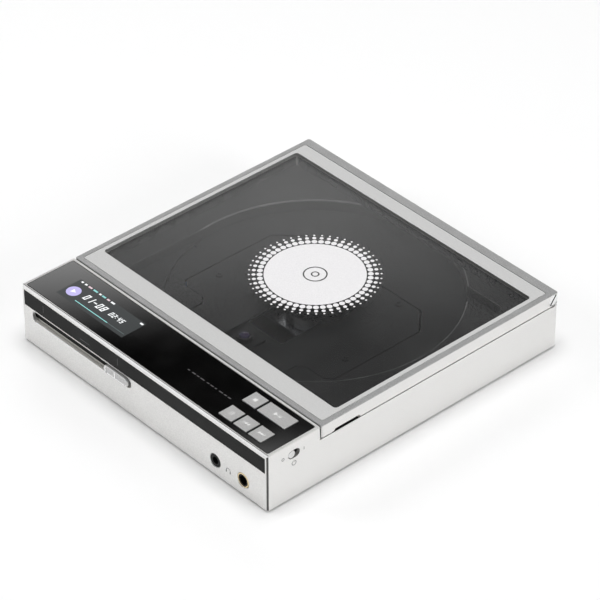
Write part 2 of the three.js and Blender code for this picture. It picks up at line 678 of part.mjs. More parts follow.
function pickupCarriage() {
  const s = SLED;
  const g = ROD_GUIDE;
  const f = FOLLOWER;
  const t = TURRET;
  const ends = [LENS_Y - s.half, LENS_Y + s.half];
  const sleeveEnds = [ends[0] + g.inset, ends[1] - g.inset];
  const forkEnds = [LENS_Y - g.forkY, LENS_Y + g.forkY];
  const nearRod = [ROD.z - g.halfZ, ROD.z + g.halfZ];
  const followerZ = SCREW.z + f.above;
  const body = join([
    block(s.x0, s.x1, ...ends, s.z0, s.z1),
    // A sleeve round the left rod, an open fork on the right one, a follower over the screw.
    block(-g.far, -g.near, ...sleeveEnds, ...nearRod),
    block(s.x1 - LAP, g.far, ...forkEnds, ...nearRod),
    block(f.x0, f.x1, ...forkEnds, followerZ, followerZ + f.thick),
    // The turret that carries the lens up to the disc.
    around(0, LENS_Y, t.half, s.z1 - LAP, t.top),
    round(t.collar, 0, LENS_Y, t.top - LAP, t.collarTop, 32),
  ]);
  const fork = block(
    g.forkX,
    g.far + OVER,
    forkEnds[0] - OVER,
    forkEnds[1] + OVER,
    ROD.z - g.forkHalf,
    ROD.z + g.forkHalf,
  );
  return body
    .subtract(roundAlongY(ROD.r + ROD.slide, -ROD.x, ROD.z, ends[0], ends[1]))
    .subtract(fork)
    .subtract(round(t.bore, 0, LENS_Y, t.boreFloor, t.collarTop + OVER));
}

function spindleMotor() {
  const m = SPINDLE_MOTOR;
  const can = round(m.r, 0, DISC_Y, FRAME.z1 + 2 * LAP, m.top, 48);
  return can.add(round(m.shaft, 0, DISC_Y, m.top - LAP, m.shaftTop, 24));
}

function addDrive() {
  const m = SLED_MOTOR;
  const pad = HUB_PAD;
  piece("mech_frame", mechFrame(), STEEL);
  for (const { name, sx, sy } of corners()) {
    const y = sy < 0 ? DAMPERS.front : DAMPERS.rear;
    const span = [BOTTOM.z1 + LAP, FRAME.z0 - LAP];
    piece("damper_" + name, round(DAMPERS.r, sx * DAMPERS.x, y, ...span, 24), RUBBER);
  }
  piece("spindle_motor", spindleMotor(), STEEL);
  piece("sled_motor", roundAlongY(m.r, SCREW.x, SCREW.z, m.y0, m.y1, 32), STEEL);
  for (const [side, s] of SIDES)
    piece("guide_rod_" + side, roundAlongY(ROD.r, s * ROD.x, ROD.z, ROD.y0, ROD.y1), STEEL);
  piece("lead_screw", leadScrew(), STEEL);
  piece("pickup_carriage", pickupCarriage(), BLACK);
  piece("objective_lens", turned(LENS_PROFILE, LENS_Y, 24), LENS);
  piece("turntable_hub", turned(HUB_PROFILE, DISC_Y, 36), BLACK);
  piece("hub_pad", ring(pad.outer, pad.inner, 0, DISC_Y, pad.z0, pad.z1), RUBBER);
}

// ---- lid ----
function lidFrame() {
  const w = WINDOW;
  const g = LID_GLASS;
  const c = g.clear;
  const window = roundedCorners(-w.x, w.x, w.front, w.rear, w.corner);
  const seat = roundedCorners(-g.x - c, g.x + c, g.front - c, g.rear + c, g.corner + c);
  const cuts = [
    plate(window, 0, HEIGHT + OVER, 0, 4),
    plate(seat, HEIGHT - g.thick - 0.15, HEIGHT + OVER, 0, 4),
    rearRounding(),
    ...SIDES.flatMap(([, s]) => lidFittings(s)),
    fingerNotch(),
  ];
  const outline = cutCorners(-RIGHT, RIGHT, LID_FRONT, REAR, EDGE);
  return plate(outline, LID_BOTTOM, HEIGHT, LIP).subtract(join(cuts));
}

// What one side of the lid is cut for: the hinge's ear and pin, and the strike of the catch.
function lidFittings(s) {
  const { y, z } = HINGE;
  const p = PIN;
  const out = s * (RIGHT + OVER);
  const seatTop = MAGNET.strikeTop + MAGNET.clear;
  return [
    block(s * (EAR.x0 - GAP), s * (EAR.x1 + GAP), EAR_POCKET.y0, REAR + OVER, 0, EAR_POCKET.z1),
    roundAlongX(p.shank + p.run, y, z, s * (EAR.x1 - 2 * GAP), out),
    roundAlongX(p.head + p.run, y, z, s * (p.headX - LAP), out, 32),
    round(MAGNET.r + MAGNET.clear, s * MAGNET.x, MAGNET.y, 0, seatTop, 24),
  ];
}

// The lower rear edge is rounded about the hinge axis, so that it clears the base as it turns.
function rearRounding() {
  const keep = roundAlongX(LID_TURN, HINGE.y, HINGE.z, -RIGHT - 2 * OVER, RIGHT + 2 * OVER, 64);
  return wide(RIGHT + OVER, HINGE.y, REAR + OVER, 0, HINGE.z).subtract(keep);
}

// A shallow scoop under the right side of the lid for a fingertip.
function fingerNotch() {
  const { x0, y0, y1, top, slope, step, depth } = NOTCH;
  const tall = top - LID_BOTTOM;
  const r = tall - step;
  const profile = new THREE.Shape();
  profile.moveTo(y0, -OVER);
  profile.lineTo(y1, -OVER);
  profile.lineTo(y1, step);
  profile.absarc(y1 - r, step, r, 0, Math.PI / 2);
  profile.lineTo(y0 + slope, tall);
  const g = new THREE.ExtrudeGeometry(profile, { depth, bevelEnabled: false, curveSegments: 5 });
  // The profile's x is the object's Y and its y is the object's Z.
  g.applyMatrix4(new THREE.Matrix4().set(0, 0, 1, x0, 1, 0, 0, 0, 0, 1, 0, LID_BOTTOM, 0, 0, 0, 1));
  return solid(g);
}

function hingeBracket(s) {
  const span = [s * EAR.x0, s * EAR.x1];
  const foot = TRAY_LEDGE.top + LAP;
  const leg = block(...span, HINGE.y - EAR.half, TRAY.rear, foot, HINGE.z);
  const barrel = roundAlongX(EAR.r, HINGE.y, HINGE.z, ...span, 32);
  const bore = roundAlongX(PIN.shank + PIN.press, HINGE.y, HINGE.z, -RIGHT, RIGHT);
  return leg.add(barrel).subtract(bore);
}

// A pin with a flat head, slotted for a screwdriver.
function hingePin(s) {
  const { y, z } = HINGE;
  const p = PIN;
  const head = roundAlongX(p.head, y, z, s * p.headX, s * p.x1, 32);
  const shank = roundAlongX(p.shank, y, z, s * p.x0, s * (p.headX + LAP));
  const slot = new THREE.BoxGeometry(PIN_SLOT.deep, PIN_SLOT.wide, PIN_SLOT.long);
  slot.rotateX(PIN_SLOT.turn).translate(s * p.x1, y, z);
  return head.add(shank).subtract(solid(slot));
}

function addLid() {
  const g = LID_GLASS;
  const m = MAGNET;
  const outline = roundedCorners(-g.x, g.x, g.front, g.rear, g.corner);
  piece("lid_frame", lidFrame(), ALUMINIUM);
  piece("lid_glass", plate(outline, HEIGHT - g.thick, HEIGHT, 0, 4), SMOKED_GLASS);
  for (const [side, s] of SIDES) {
    const strike = round(m.r, s * m.x, m.y, LID_BOTTOM + LAP / 2, m.strikeTop, 24);
    piece("hinge_bracket_" + side, hingeBracket(s), STEEL);
    piece("hinge_pin_" + side, hingePin(s), STEEL);
    piece("lid_strike_" + side, strike, STEEL);
  }
}

// ---- disc clamp, hung under the middle of the glass ----
function clampHolder() {
  const h = CLAMP_HOLDER;
  const underGlass = HEIGHT - LID_GLASS.thick - LAP;
  const cup = ring(h.outer, h.inner, 0, DISC_Y, h.z0, underGlass);
  return cup.add(ring(h.outer, h.mouth, 0, DISC_Y, h.z0, h.z0 + h.lip));
}

function clampPuck() {
  const p = PUCK;
  return join([
    round(p.r, 0, DISC_Y, p.z0, p.z1, 36),
    round(p.neck, 0, DISC_Y, p.z1 - LAP, p.flangeZ0 + LAP, 36),
    round(p.flange, 0, DISC_Y, p.flangeZ0, p.flangeZ1, 36),
  ]).subtract(round(PUCK_RECESS.r, 0, DISC_Y, p.z0 - OVER, PUCK_RECESS.top, 36));
}

function addClamp() {
  const pad = CLAMP_PAD;
  piece("clamp_holder", clampHolder(), BLACK);
  piece("clamp_puck", clampPuck(), BLACK);
  piece("clamp_pad", ring(pad.outer, pad.inner, 0, DISC_Y, pad.z0, pad.z1), RUBBER);
}

addBase();
addTray();
addPanel();
addSliders();
addSockets();
addElectronics();
addDrive();
addLid();
addClamp();

export default player;
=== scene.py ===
"""The looks of a portable top-loading disc player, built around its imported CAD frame.

Lengths below are in millimetres in the row frame: +X right along the front, +Y towards the hinge,
+Z up, with the floor at Z = 0. MM turns them into Blender's metres.
"""
import json
import math

import bmesh
import bpy
from mathutils import Matrix, Vector

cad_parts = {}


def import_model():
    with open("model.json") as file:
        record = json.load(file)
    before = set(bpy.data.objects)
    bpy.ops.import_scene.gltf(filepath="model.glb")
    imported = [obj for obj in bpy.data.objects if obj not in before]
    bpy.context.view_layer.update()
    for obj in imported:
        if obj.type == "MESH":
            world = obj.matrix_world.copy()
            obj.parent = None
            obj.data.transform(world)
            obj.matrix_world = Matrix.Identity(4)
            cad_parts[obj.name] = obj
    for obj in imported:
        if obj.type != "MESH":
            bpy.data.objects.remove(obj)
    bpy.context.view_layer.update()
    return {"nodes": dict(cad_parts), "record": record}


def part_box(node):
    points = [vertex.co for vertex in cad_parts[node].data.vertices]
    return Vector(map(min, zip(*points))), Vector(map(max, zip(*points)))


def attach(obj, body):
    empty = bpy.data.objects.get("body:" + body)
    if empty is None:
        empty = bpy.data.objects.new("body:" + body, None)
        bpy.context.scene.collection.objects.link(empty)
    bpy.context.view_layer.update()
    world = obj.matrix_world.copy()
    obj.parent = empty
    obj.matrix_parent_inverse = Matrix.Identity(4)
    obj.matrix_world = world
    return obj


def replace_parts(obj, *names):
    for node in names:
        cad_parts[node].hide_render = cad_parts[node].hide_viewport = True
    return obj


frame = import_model()
NODES = frame["nodes"]
MM = 0.001
BODIES = frame["record"]["behaviour"]["bodies"]
BODY_OF = {node: body for body, nodes in BODIES.items() for node in nodes}

X, Y, Z = Vector((1, 0, 0)), Vector((0, 1, 0)), Vector((0, 0, 1))


def box(node):
    """Lowest and highest corner of a CAD node, in millimetres."""
    lo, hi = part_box(node)
    return lo / MM, hi / MM


def middle(node):
    lo, hi = box(node)
    return (lo + hi) / 2


# ---- materials ----
def new_node(tree, kind, **settings):
    n = tree.nodes.new(kind)
    for key, value in settings.items():
        setattr(n, key, value)
    return n


class Finish:
    """A Principled material on object coordinates, with helpers that give it grain."""

    def __init__(self, name, color, sockets):
        self.material = bpy.data.materials.new(name)
        self.material.use_nodes = True
        self.tree = self.material.node_tree
        self.shader = self.tree.nodes["Principled BSDF"]
        self.shader.inputs["Base Color"].default_value = (*color, 1)
        for socket, value in sockets.items():
            self.shader.inputs[socket].default_value = value

    def node(self, kind, **settings):
        return new_node(self.tree, kind, **settings)

    def link(self, output, target):
        self.tree.links.new(output, target)

    def noise(self, grain, detail=3.0, stretch=(1, 1, 1)):
        """Noise with a feature size of about grain millimetres, longer where stretch is above 1."""
        place = self.node("ShaderNodeTexCoord").outputs["Object"]
        mapping = self.node("ShaderNodeMapping")
        mapping.inputs["Scale"].default_value = [1 / (grain * MM * s) for s in stretch]
        self.link(place, mapping.inputs["Vector"])
        noise = self.node("ShaderNodeTexNoise")
        noise.inputs["Scale"].default_value = 1
        noise.inputs["Detail"].default_value = detail
        self.link(mapping.outputs["Vector"], noise.inputs["Vector"])
        return noise.outputs["Fac"]

    def spread(self, fac, low, high, contrast=0.25):
        """A value that runs from low to high as the noise crosses its middle."""
        span = self.node("ShaderNodeMapRange")
        span.inputs["From Min"].default_value = 0.5 - contrast
        span.inputs["From Max"].default_value = 0.5 + contrast
        span.inputs["To Min"].default_value = low
        span.inputs["To Max"].default_value = high
        self.link(fac, span.inputs["Value"])
        return span.outputs["Result"]

    def tint(self, fac, dark, light):
        mix = self.node("ShaderNodeMix", data_type="RGBA")
        mix.inputs["A"].default_value = (*dark, 1)
        mix.inputs["B"].default_value = (*light, 1)
        self.link(fac, mix.inputs["Factor"])
        self.link(mix.outputs["Result"], self.shader.inputs["Base Color"])
        return self

    def rough(self, fac, low, high):
        self.link(self.spread(fac, low, high), self.shader.inputs["Roughness"])
        return self

    def relief(self, fac, depth, strength=1.0):
        """Bump of about depth millimetres."""
        bump = self.node("ShaderNodeBump")
        bump.inputs["Distance"].default_value = depth * MM
        bump.inputs["Strength"].default_value = strength
        self.link(fac, bump.inputs["Height"])
        self.link(bump.outputs["Normal"], self.shader.inputs["Normal"])
        return self


def grey(value):
    return (value, value, value)


def blasted_metal():
    """Bead-blasted natural anodised aluminium: a fine speckle over a faint cloudiness."""
    f = Finish("case_metal", grey(0.8), {"Metallic": 0.7, "Roughness": 0.42})
    speckle = f.noise(0.3, 4)
    f.tint(f.spread(speckle, 0, 1, 0.2), (0.72, 0.715, 0.705), (0.89, 0.885, 0.87))
    f.rough(f.noise(9, 2), 0.36, 0.46)
    return f.relief(speckle, 0.006, 0.6).material


def shaded_top_metal():
    """The lid's upper rim: the same aluminium with a coarser blast, and a darker tone that is painted
    shade.
    """
    f = Finish("rim_metal_painted_shade", grey(0.6), {"Metallic": 0.85, "Roughness": 0.4})
    speckle = f.noise(0.5, 4)
    f.tint(f.spread(speckle, 0, 1, 0.2), grey(0.44), grey(0.64))
    f.rough(f.noise(9, 2), 0.36, 0.46)
    return f.relief(speckle, 0.008, 0.6).material


def polished_metal():
    """The diamond-cut edges of the aluminium."""
    f = Finish("cut_edge", grey(0.9), {"Metallic": 1.0, "Roughness": 0.16})
    lines = f.noise(0.08, 2, (40, 40, 1))
    f.tint(f.spread(lines, 0, 1), grey(0.84), grey(0.94))
    return f.rough(lines, 0.12, 0.22).material


def painted_dark_edge():
    """The middle facet of the upright corners: a painted reflection of the dark of the room."""
    f = Finish("painted_dark_edge", grey(0.08), {"Metallic": 1.0, "Roughness": 0.25})
    lines = f.noise(0.1, 2, (1, 1, 30))
    return f.tint(f.spread(lines, 0, 1), grey(0.06), grey(0.12)).material


def satin_metal():
    """Keycaps and sliders: finely brushed along their length."""
    f = Finish("key_metal", grey(0.8), {"Metallic": 0.9, "Roughness": 0.35})
    brush = f.noise(0.2, 3, (6, 1, 1))
    f.tint(f.spread(brush, 0, 1), (0.60, 0.60, 0.595), (0.76, 0.76, 0.75))
    f.rough(brush, 0.30, 0.40)
    return f.relief(brush, 0.003, 0.5).material


def steel():
    f = Finish("steel", grey(0.6), {"Metallic": 1.0, "Roughness": 0.3})
    drawn = f.noise(0.15, 3, (1, 12, 1))
    f.tint(f.spread(drawn, 0, 1), (0.52, 0.53, 0.55), (0.68, 0.69, 0.71))
    return f.rough(drawn, 0.22, 0.36).material


def gold():
    f = Finish("gold_ring", (0.83, 0.66, 0.38), {"Metallic": 1.0, "Roughness": 0.18})
    turned = f.noise(0.1, 2)
    f.tint(f.spread(turned, 0, 1), (0.76, 0.60, 0.34), (0.88, 0.74, 0.48))
    return f.rough(turned, 0.14, 0.24).material


def panel_glass():
    """Black glass over the control panel, with the faintest film of dust."""
    f = Finish("panel_glass", grey(0.004), {"Roughness": 0.04, "IOR": 2.4})
    f.tint(f.spread(f.noise(6, 3), 0, 1), grey(0.001), grey(0.003))
    return f.rough(f.noise(14, 3), 0.02, 0.045).material


def lid_pane():
    """Smoke-tinted lid glass: the drive shows dimly through it."""
    f = Finish("lid_pane", (0.012, 0.0125, 0.013), {"IOR": 2.2, "Alpha": 0.25})
    return f.rough(f.noise(20, 2), 0.07, 0.10).material


def moulded(name, dark, light, roughness, grain=0.35, depth=0.02, gloss=0.5):
    """Spark-eroded plastic: a fine leather-like grain."""
    f = Finish(name, dark, {"Roughness": roughness, "Specular IOR Level": gloss})
    texture = f.noise(grain, 4)
    f.tint(f.spread(texture, 0, 1), dark, light)
    f.rough(f.noise(12, 2), roughness - 0.05, roughness + 0.08)
    return f.relief(texture, depth, 0.6).material


def felt():
    f = Finish("felt", grey(0.05), {"Roughness": 0.95, "Sheen Weight": 0.4})
    fibre = f.noise(0.15, 5, (3, 1, 1))
    f.tint(f.spread(fibre, 0, 1), grey(0.03), grey(0.09))
    return f.relief(fibre, 0.08).material


def board():
    """Green lacquer over copper tracks."""
    f = Finish("board", (0.01, 0.09, 0.04), {"Roughness": 0.35})
    tracks = f.noise(1.2, 1, (4, 1, 1))
    f.tint(f.spread(tracks, 0, 1, 0.05), (0.01, 0.08, 0.035), (0.02, 0.14, 0.06))
    return f.relief(tracks, 0.03, 0.4).material


def cell_wrap():
    f = Finish("cell_wrap", (0.06, 0.14, 0.30), {"Roughness": 0.3})
    creases = f.noise(8, 3, (1, 3, 1))
    f.tint(f.spread(creases, 0, 1), (0.05, 0.12, 0.27), (0.08, 0.17, 0.34))
    return f.relief(creases, 0.15, 0.4).material


def lens_glass():
    f = Finish("lens_glass", (0.04, 0.03, 0.08), {"Roughness": 0.03, "Coat Weight": 1.0, "IOR": 1.6})
    shift = f.noise(2.5, 1)
    return f.tint(f.spread(shift, 0, 1), (0.03, 0.03, 0.09), (0.06, 0.03, 0.08)).material


def ink(name, color, roughness=0.35, glow=0.0):
    """Screen-printed ink or a lit patch of the display, behind the same gloss as the glass."""
    f = Finish(name, color, {"Roughness": roughness})
    pores = f.noise(0.45, 3)
    body = 0.15 if glow else 1.0
    f.tint(f.spread(pores, 0, 1), [c * body * 0.93 for c in color], [c * body * 1.07 for c in color])
    if glow:
        f.shader.inputs["Emission Color"].default_value = (*color, 1)
        f.shader.inputs["Emission Strength"].default_value = glow
    return f.material


CASE = blasted_metal()
SHADED_RIM = shaded_top_metal()
CUT = polished_metal()
PAINTED_DARK_CUT = painted_dark_edge()
SATIN = satin_metal()
STEEL = steel()
GOLD = gold()
PANEL_GLASS = panel_glass()
LID_PANE = lid_pane()
BLACK = moulded("black_plastic", grey(0.034), grey(0.041), 0.42, 0.35, 0.005, 0.35)
# Painted highlight: a paler grey for the tray's lip and the lid window's corners.
PAINTED_SHEEN = moulded("painted_edge_sheen", grey(0.19), grey(0.24), 0.25, 0.35, 0.002)
# Black parts, and painted shade in the lid gap, under the finger notch, behind the volume slot and in
# the hinge pins.
DEEP_BLACK_AND_SHADE = moulded("deep_black_and_painted_shade", grey(0.006), grey(0.010), 0.35, 0.35, 0.004, 0.15)
SKIRT = moulded("skirt_paint", grey(0.020), grey(0.028), 0.25, 0.5, 0.004)
BAND = moulded("band_plastic", grey(0.004), grey(0.016), 0.45, 0.5, 0.02, 0.12)
# Pale plastic of the slider's track, and painted light on the volume slot's lower wall and the lid
# window's corners.
TRACK_AND_PAINTED_LIGHT = moulded("track_plastic_and_painted_light", (0.64, 0.63, 0.60), (0.76, 0.75, 0.71), 0.5, 0.3, 0.01)
RUBBER = moulded("rubber", grey(0.018), grey(0.03), 0.75, 0.5, 0.03)
FELT = felt()
BOARD = board()
CELL = cell_wrap()
LENS = lens_glass()
WHITE_INK = ink("white_ink", (0.77, 0.76, 0.77))
LIGHT_INK = ink("border_ink", (0.52, 0.52, 0.515), 0.3)
DARK_INK = ink("dark_ink", (0.05, 0.05, 0.05), 0.5)
GREY_INK = ink("grey_ink", (0.06, 0.06, 0.062), 0.4)
KEY_INK = ink("key_ink", (0.72, 0.72, 0.71), 0.3)
FIELD = ink("display_field", (0.026, 0.030, 0.031), 0.12, 1.0)
LAVENDER = ink("display_lavender", (0.50, 0.45, 0.80), 0.2, 0.95)
WHITE_LIGHT = ink("display_white", (0.90, 0.92, 0.93), 0.2, 1.0)
TEAL_LIGHT = ink("display_teal", (0.30, 0.72, 0.70), 0.2, 0.8)
PINK_LIGHT = ink("display_pink", (0.85, 0.66, 0.72), 0.2, 0.8)
DIM_LIGHT = ink("display_dim", (0.12, 0.16, 0.16), 0.2, 0.6)


# ---- meshes ----
SMOOTH_ANGLE = math.radians(32)
FLAT = math.radians(0.6)


def weigh_normals(mesh):
    """Shades each flat face flat up to its rim: corner normals are weighted by area."""
    faces_at = [[] for _ in mesh.vertices]
    for polygon in mesh.polygons:
        for v in polygon.vertices:
            faces_at[v].append((polygon.normal, polygon.area))
    limit = math.cos(SMOOTH_ANGLE)
    normals = []
    for polygon in mesh.polygons:
        own = polygon.normal
        for v in polygon.vertices:
            near = [n * area for n, area in faces_at[v] if n.dot(own) > limit]
            normals.append(sum(near, Vector()).normalized() if near else own)
    mesh.normals_split_custom_set(normals)


def finished(bm, name, materials, body):
    """Turns a bmesh in metres into a piece that rides on a body."""
    bmesh.ops.recalc_face_normals(bm, faces=bm.faces)
    mesh = bpy.data.meshes.new(name)
    bm.to_mesh(mesh)
    bm.free()
    for m in materials:
        mesh.materials.append(m)
    for polygon in mesh.polygons:
        polygon.use_smooth = True
    mesh.set_sharp_from_angle(angle=SMOOTH_ANGLE)
    weigh_normals(mesh)
    obj = bpy.data.objects.new(name, mesh)
    bpy.context.scene.collection.objects.link(obj)
    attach(obj, body)
    return obj


def cleaned(node):
    """A copy of a CAD node's mesh with its triangles merged into flat faces."""
    bm = bmesh.new()
    bm.from_mesh(NODES[node].data)
    bmesh.ops.remove_doubles(bm, verts=bm.verts, dist=0.002 * MM)
    bmesh.ops.dissolve_limit(bm, angle_limit=FLAT, verts=bm.verts, edges=bm.edges)
    for face in bm.faces:
        face.material_index = 0
    return bm


def break_edges(bm, width, keep=lambda edge: True, segments=1, min_angle=50):
    """Chamfers the outer edges, and gives the chamfers the second material."""
    limit = math.radians(min_angle)
    edges = [
        e
        for e in bm.edges
        if len(e.link_faces) == 2 and e.is_convex and e.calc_face_angle(0) > limit and keep(e)
    ]
    bmesh.ops.bevel(
        bm,
        geom=edges,
        offset=width * MM,
        offset_type="OFFSET",
        segments=segments,
        profile=0.5,
        affect="EDGES",
        clamp_overlap=True,
        material=1,
    )


def paint(bm, index, test):
    """Gives faces another material where test(centre in mm, normal) holds."""
    for face in bm.faces:
        if test(face.calc_center_median() / MM, face.normal):
            face.material_index = index


def refined(node, materials, width=0.12, segments=1, paints=(), keep=lambda edge: True, name=None):
    """A CAD node's own shape with its edges broken, standing in for the node."""
    bm = cleaned(node)
    if width:
        break_edges(bm, width, keep, segments)
    bm.normal_update()
    for index, test in paints:
        paint(bm, index, test)
    obj = finished(bm, name or node + "_skin", materials, BODY_OF[node])
    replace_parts(obj, node)
    return obj


# ---- flat shapes, and prisms that raise them from a surface ----
def plane(origin, u, v):
    """A drawing plane in millimetres: u and v run along it and w stands out of it."""
    m = Matrix((u, v, u.cross(v))).transposed().to_4x4()
    m.translation = origin
    return m


def rect(cx, cy, width, height, lean=0.0):
    """A rectangle, sheared sideways by lean for each unit of height."""
    corners = [(-1, -1), (1, -1), (1, 1), (-1, 1)]
    return [(cx + a * width / 2 + lean * b * height / 2, cy + b * height / 2) for a, b in corners]


def arc(cx, cy, r, start, end, steps):
    turn = (end - start) / steps
    angles = [math.radians(start + turn * i) for i in range(steps + 1)]
    return [(cx + r * math.cos(a), cy + r * math.sin(a)) for a in angles]


def polar(centre, reach, angle):
    """The point that lies reach away from a centre, at an angle in radians."""
    return centre.x + reach * math.cos(angle), centre.y + reach * math.sin(angle)


def circle(cx, cy, r, sides=48):
    return arc(cx, cy, r, 0, 360, sides)[:-1]


def bow(cx, cy, r, width, start, end, steps=16):
    """A curved stroke of a given width."""
    outer = arc(cx, cy, r + width / 2, start, end, steps)
    return outer + arc(cx, cy, r - width / 2, end, start, steps)


def hoop(cx, cy, r, width, sides=32):
    """The outer and inner outline of a ring stroke."""
    return circle(cx, cy, r + width / 2, sides), circle(cx, cy, r - width / 2, sides)


def triangle(cx, cy, size, way=1):
    """An arrow head that points right, or left where way is -1."""
    points = [(-0.5, -0.55), (0.5, 0), (-0.5, 0.55)]
    return [(cx + way * a * size, cy + b * size) for a, b in points][::way]


def pill(cx, cy, width, height, steps=8):
    r = height / 2
    c = width / 2 - r
    return arc(cx + c, cy, r, -90, 90, steps) + arc(cx - c, cy, r, 90, 270, steps)


def rounded(x0, x1, y0, y1, r, steps=6):
    return (
        arc(x1 - r, y0 + r, r, -90, 0, steps)
        + arc(x1 - r, y1 - r, r, 0, 90, steps)
        + arc(x0 + r, y1 - r, r, 90, 180, steps)
        + arc(x0 + r, y0 + r, r, 180, 270, steps)
    )


def add_prism(bm, outline, place, low, high):
    rings = [[bm.verts.new(place @ Vector((u, v, w)) * MM) for u, v in outline] for w in (low, high)]
    bm.faces.new(reversed(rings[0]))
    bm.faces.new(rings[1])
    count = len(outline)
    for i in range(count):
        j = (i + 1) % count
        bm.faces.new((rings[0][i], rings[0][j], rings[1][j], rings[1][i]))


def add_ring(bm, outer, inner, place, low, high):
    """A closed ring between two outlines with the same number of points."""
    loops = [
        [bm.verts.new(place @ Vector((u, v, w)) * MM) for u, v in outline]
        for outline, w in ((outer, low), (inner, low), (inner, high), (outer, high))
    ]
    count = len(outer)
    for i in range(count):
        j = (i + 1) % count
        for a, b in zip(loops, loops[1:] + loops[:1]):
            bm.faces.new((a[i], b[i], b[j], a[j]))


INK_LOW = 0.004
INK_HIGH = 0.02


def inlay(name, place, outlines, material, body, rings=(), low=INK_LOW, high=INK_HIGH):
    """Thin raised shapes on a surface, such as print. A ring is an outer and an inner outline."""
    bm = bmesh.new()
    for outline in outlines:
        add_prism(bm, outline, place, low, high)
    for outer, inner in rings:
        add_ring(bm, outer, inner, place, low, high)
    return finished(bm, name, [material], body)


def top_of(node):
    return plane(Vector((0, 0, box(node)[1].z)), X, Y)


def front_of(node):
    return plane(Vector((0, box(node)[0].y, 0)), X, Z)


def right_of(node):
    return plane(Vector((box(node)[1].x, 0, 0)), Y, Z)


# ---- base ----
# The front rim is cut at 45 degrees and then eased by a shallower cut a little further back.
RIM_CUT = 0.75
RIM_EASE = 0.95
# Openings in the front wall below this height get bright edges; the band's recess is above it.
SLOT_TOP = 18.3
SIDE_WALL = 1.5
# Chamfer widths of the upright corners, of those openings, and of every other clear edge.
UPRIGHT_CUT = 0.6
OPENING_CUT = 0.28
FINE_CUT = 0.1
# An edge counts as long above the first length, and as short up to the second.
LONG_EDGE = 15
SHORT_EDGE = 0.3
# The housing's rear wall, which faces the gap in front of the lid.
LID_GAP = -51
HEADPHONE_MARK = (52.1, 7.4)
POWER_SWITCH = (-64.8, 22.35)
TICK_PLACES = (-61.3, -14.3)
DASH_PLACE = -34.9
CORNERS = ("front_left", "front_right", "rear_left", "rear_right")


def shave(bm, point, direction):
    """Cuts away everything beyond a plane and closes the cut with a face of the second material."""
    geom = list(bm.verts) + list(bm.edges) + list(bm.faces)
    cut = bmesh.ops.bisect_plane(
        bm, geom=geom, plane_co=point * MM, plane_no=direction, clear_outer=True
    )
    rim = [e for e in cut["geom_cut"] if isinstance(e, bmesh.types.BMEdge)]
    for face in bmesh.ops.edgenet_fill(bm, edges=rim)["faces"]:
        face.material_index = 1


def on_bevel(edge):
    """True beside a face that an earlier bevel made."""
    return any(face.material_index for face in edge.link_faces)


def clear_run(edge):
    """True for a long edge that meets no short one, which would limit the width of every chamfer."""
    met = (e for v in edge.verts for e in v.link_edges)
    return edge.calc_length() > LONG_EDGE * MM and all(e.calc_length() > SHORT_EDGE * MM for e in met)


def base_shell():
    """The housing, with a broad bright front rim and bright edges round its openings."""
    lo, hi = box("base_shell")

    def at_front(edge):
        return all(v.co.y < (lo.y + 0.01) * MM for v in edge.verts)

    def in_wall(v):
        return abs(v.co.x) < (hi.x - SIDE_WALL) * MM and (lo.z + 1) * MM < v.co.z < SLOT_TOP * MM

    def opening(edge):
        return at_front(edge) and all(in_wall(v) for v in edge.verts)

    def upright(edge):
        a, b = (v.co for v in edge.verts)
        outside = min(abs(a.x), abs(b.x)) > (hi.x - 0.1) * MM
        return outside and abs(a.z - b.z) > 5 * MM and abs(a.x - b.x) + abs(a.y - b.y) < 0.1 * MM

    def corner_facet(c, n):
        return abs(n.x) > 0.6 and abs(n.y) > 0.6 and abs(c.x) > hi.x - 1

    def shaded_gap_wall(c, n):
        return n.y > 0.9 and LID_GAP - 1 < c.y < LID_GAP + 1 and c.z > 20

    def slot_floor(c, n):
        return n.z > 0.9 and c.y < lo.y + 3 and 12 < c.z < 14 and c.x < 0

    skins = [CASE, CUT, PAINTED_DARK_CUT, DEEP_BLACK_AND_SHADE, TRACK_AND_PAINTED_LIGHT]
    bm = cleaned("base_shell")
    shave(bm, Vector((0, lo.y + RIM_CUT, hi.z)), Vector((0, -1, 1)))
    shave(bm, Vector((0, lo.y + RIM_EASE, hi.z)), Vector((0, -1, 3)))
    break_edges(bm, UPRIGHT_CUT, upright, segments=3)
    bmesh.ops.remove_doubles(bm, verts=bm.verts, dist=0.05 * MM)
    break_edges(bm, OPENING_CUT, opening, min_angle=20)
    break_edges(bm, FINE_CUT, lambda e: not on_bevel(e) and clear_run(e))
    bm.normal_update()
    # Painted reflection: the corner's middle facet is dark metal.
    paint(bm, skins.index(PAINTED_DARK_CUT), corner_facet)
    # Painted shade: the rear wall in the lid gap is near black.
    paint(bm, skins.index(DEEP_BLACK_AND_SHADE), shaded_gap_wall)
    # Painted light: the volume slot's lower wall takes the pale track colour.
    paint(bm, skins.index(TRACK_AND_PAINTED_LIGHT), slot_floor)
    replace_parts(finished(bm, "base_housing", skins, "base"), "base_shell")


def band_marks():
    """Fine scale marks over the volume slider."""
    lo, hi = box("front_band")
    ticks = [rect(x, (lo.z + hi.z) / 2 + 0.2, 0.22, 3.5) for x in TICK_PLACES]
    dash = rect(DASH_PLACE, lo.z + 2.2, 6, 0.25)
    inlay("band_marks", front_of("front_band"), [*ticks, dash], GREY_INK, "base")


def headphone_mark():
    """A small generic headphone sign between the two sockets."""
    x, z = HEADPHONE_MARK
    cups = [rect(x + way * 1.15, z - 0.5, 0.5, 1.0) for way in (-1, 1)]
    strap = bow(x, z, 1.2, 0.22, 0, 180)
    inlay("headphone_mark", front_of("base_shell"), [*cups, strap], DARK_INK, "base")


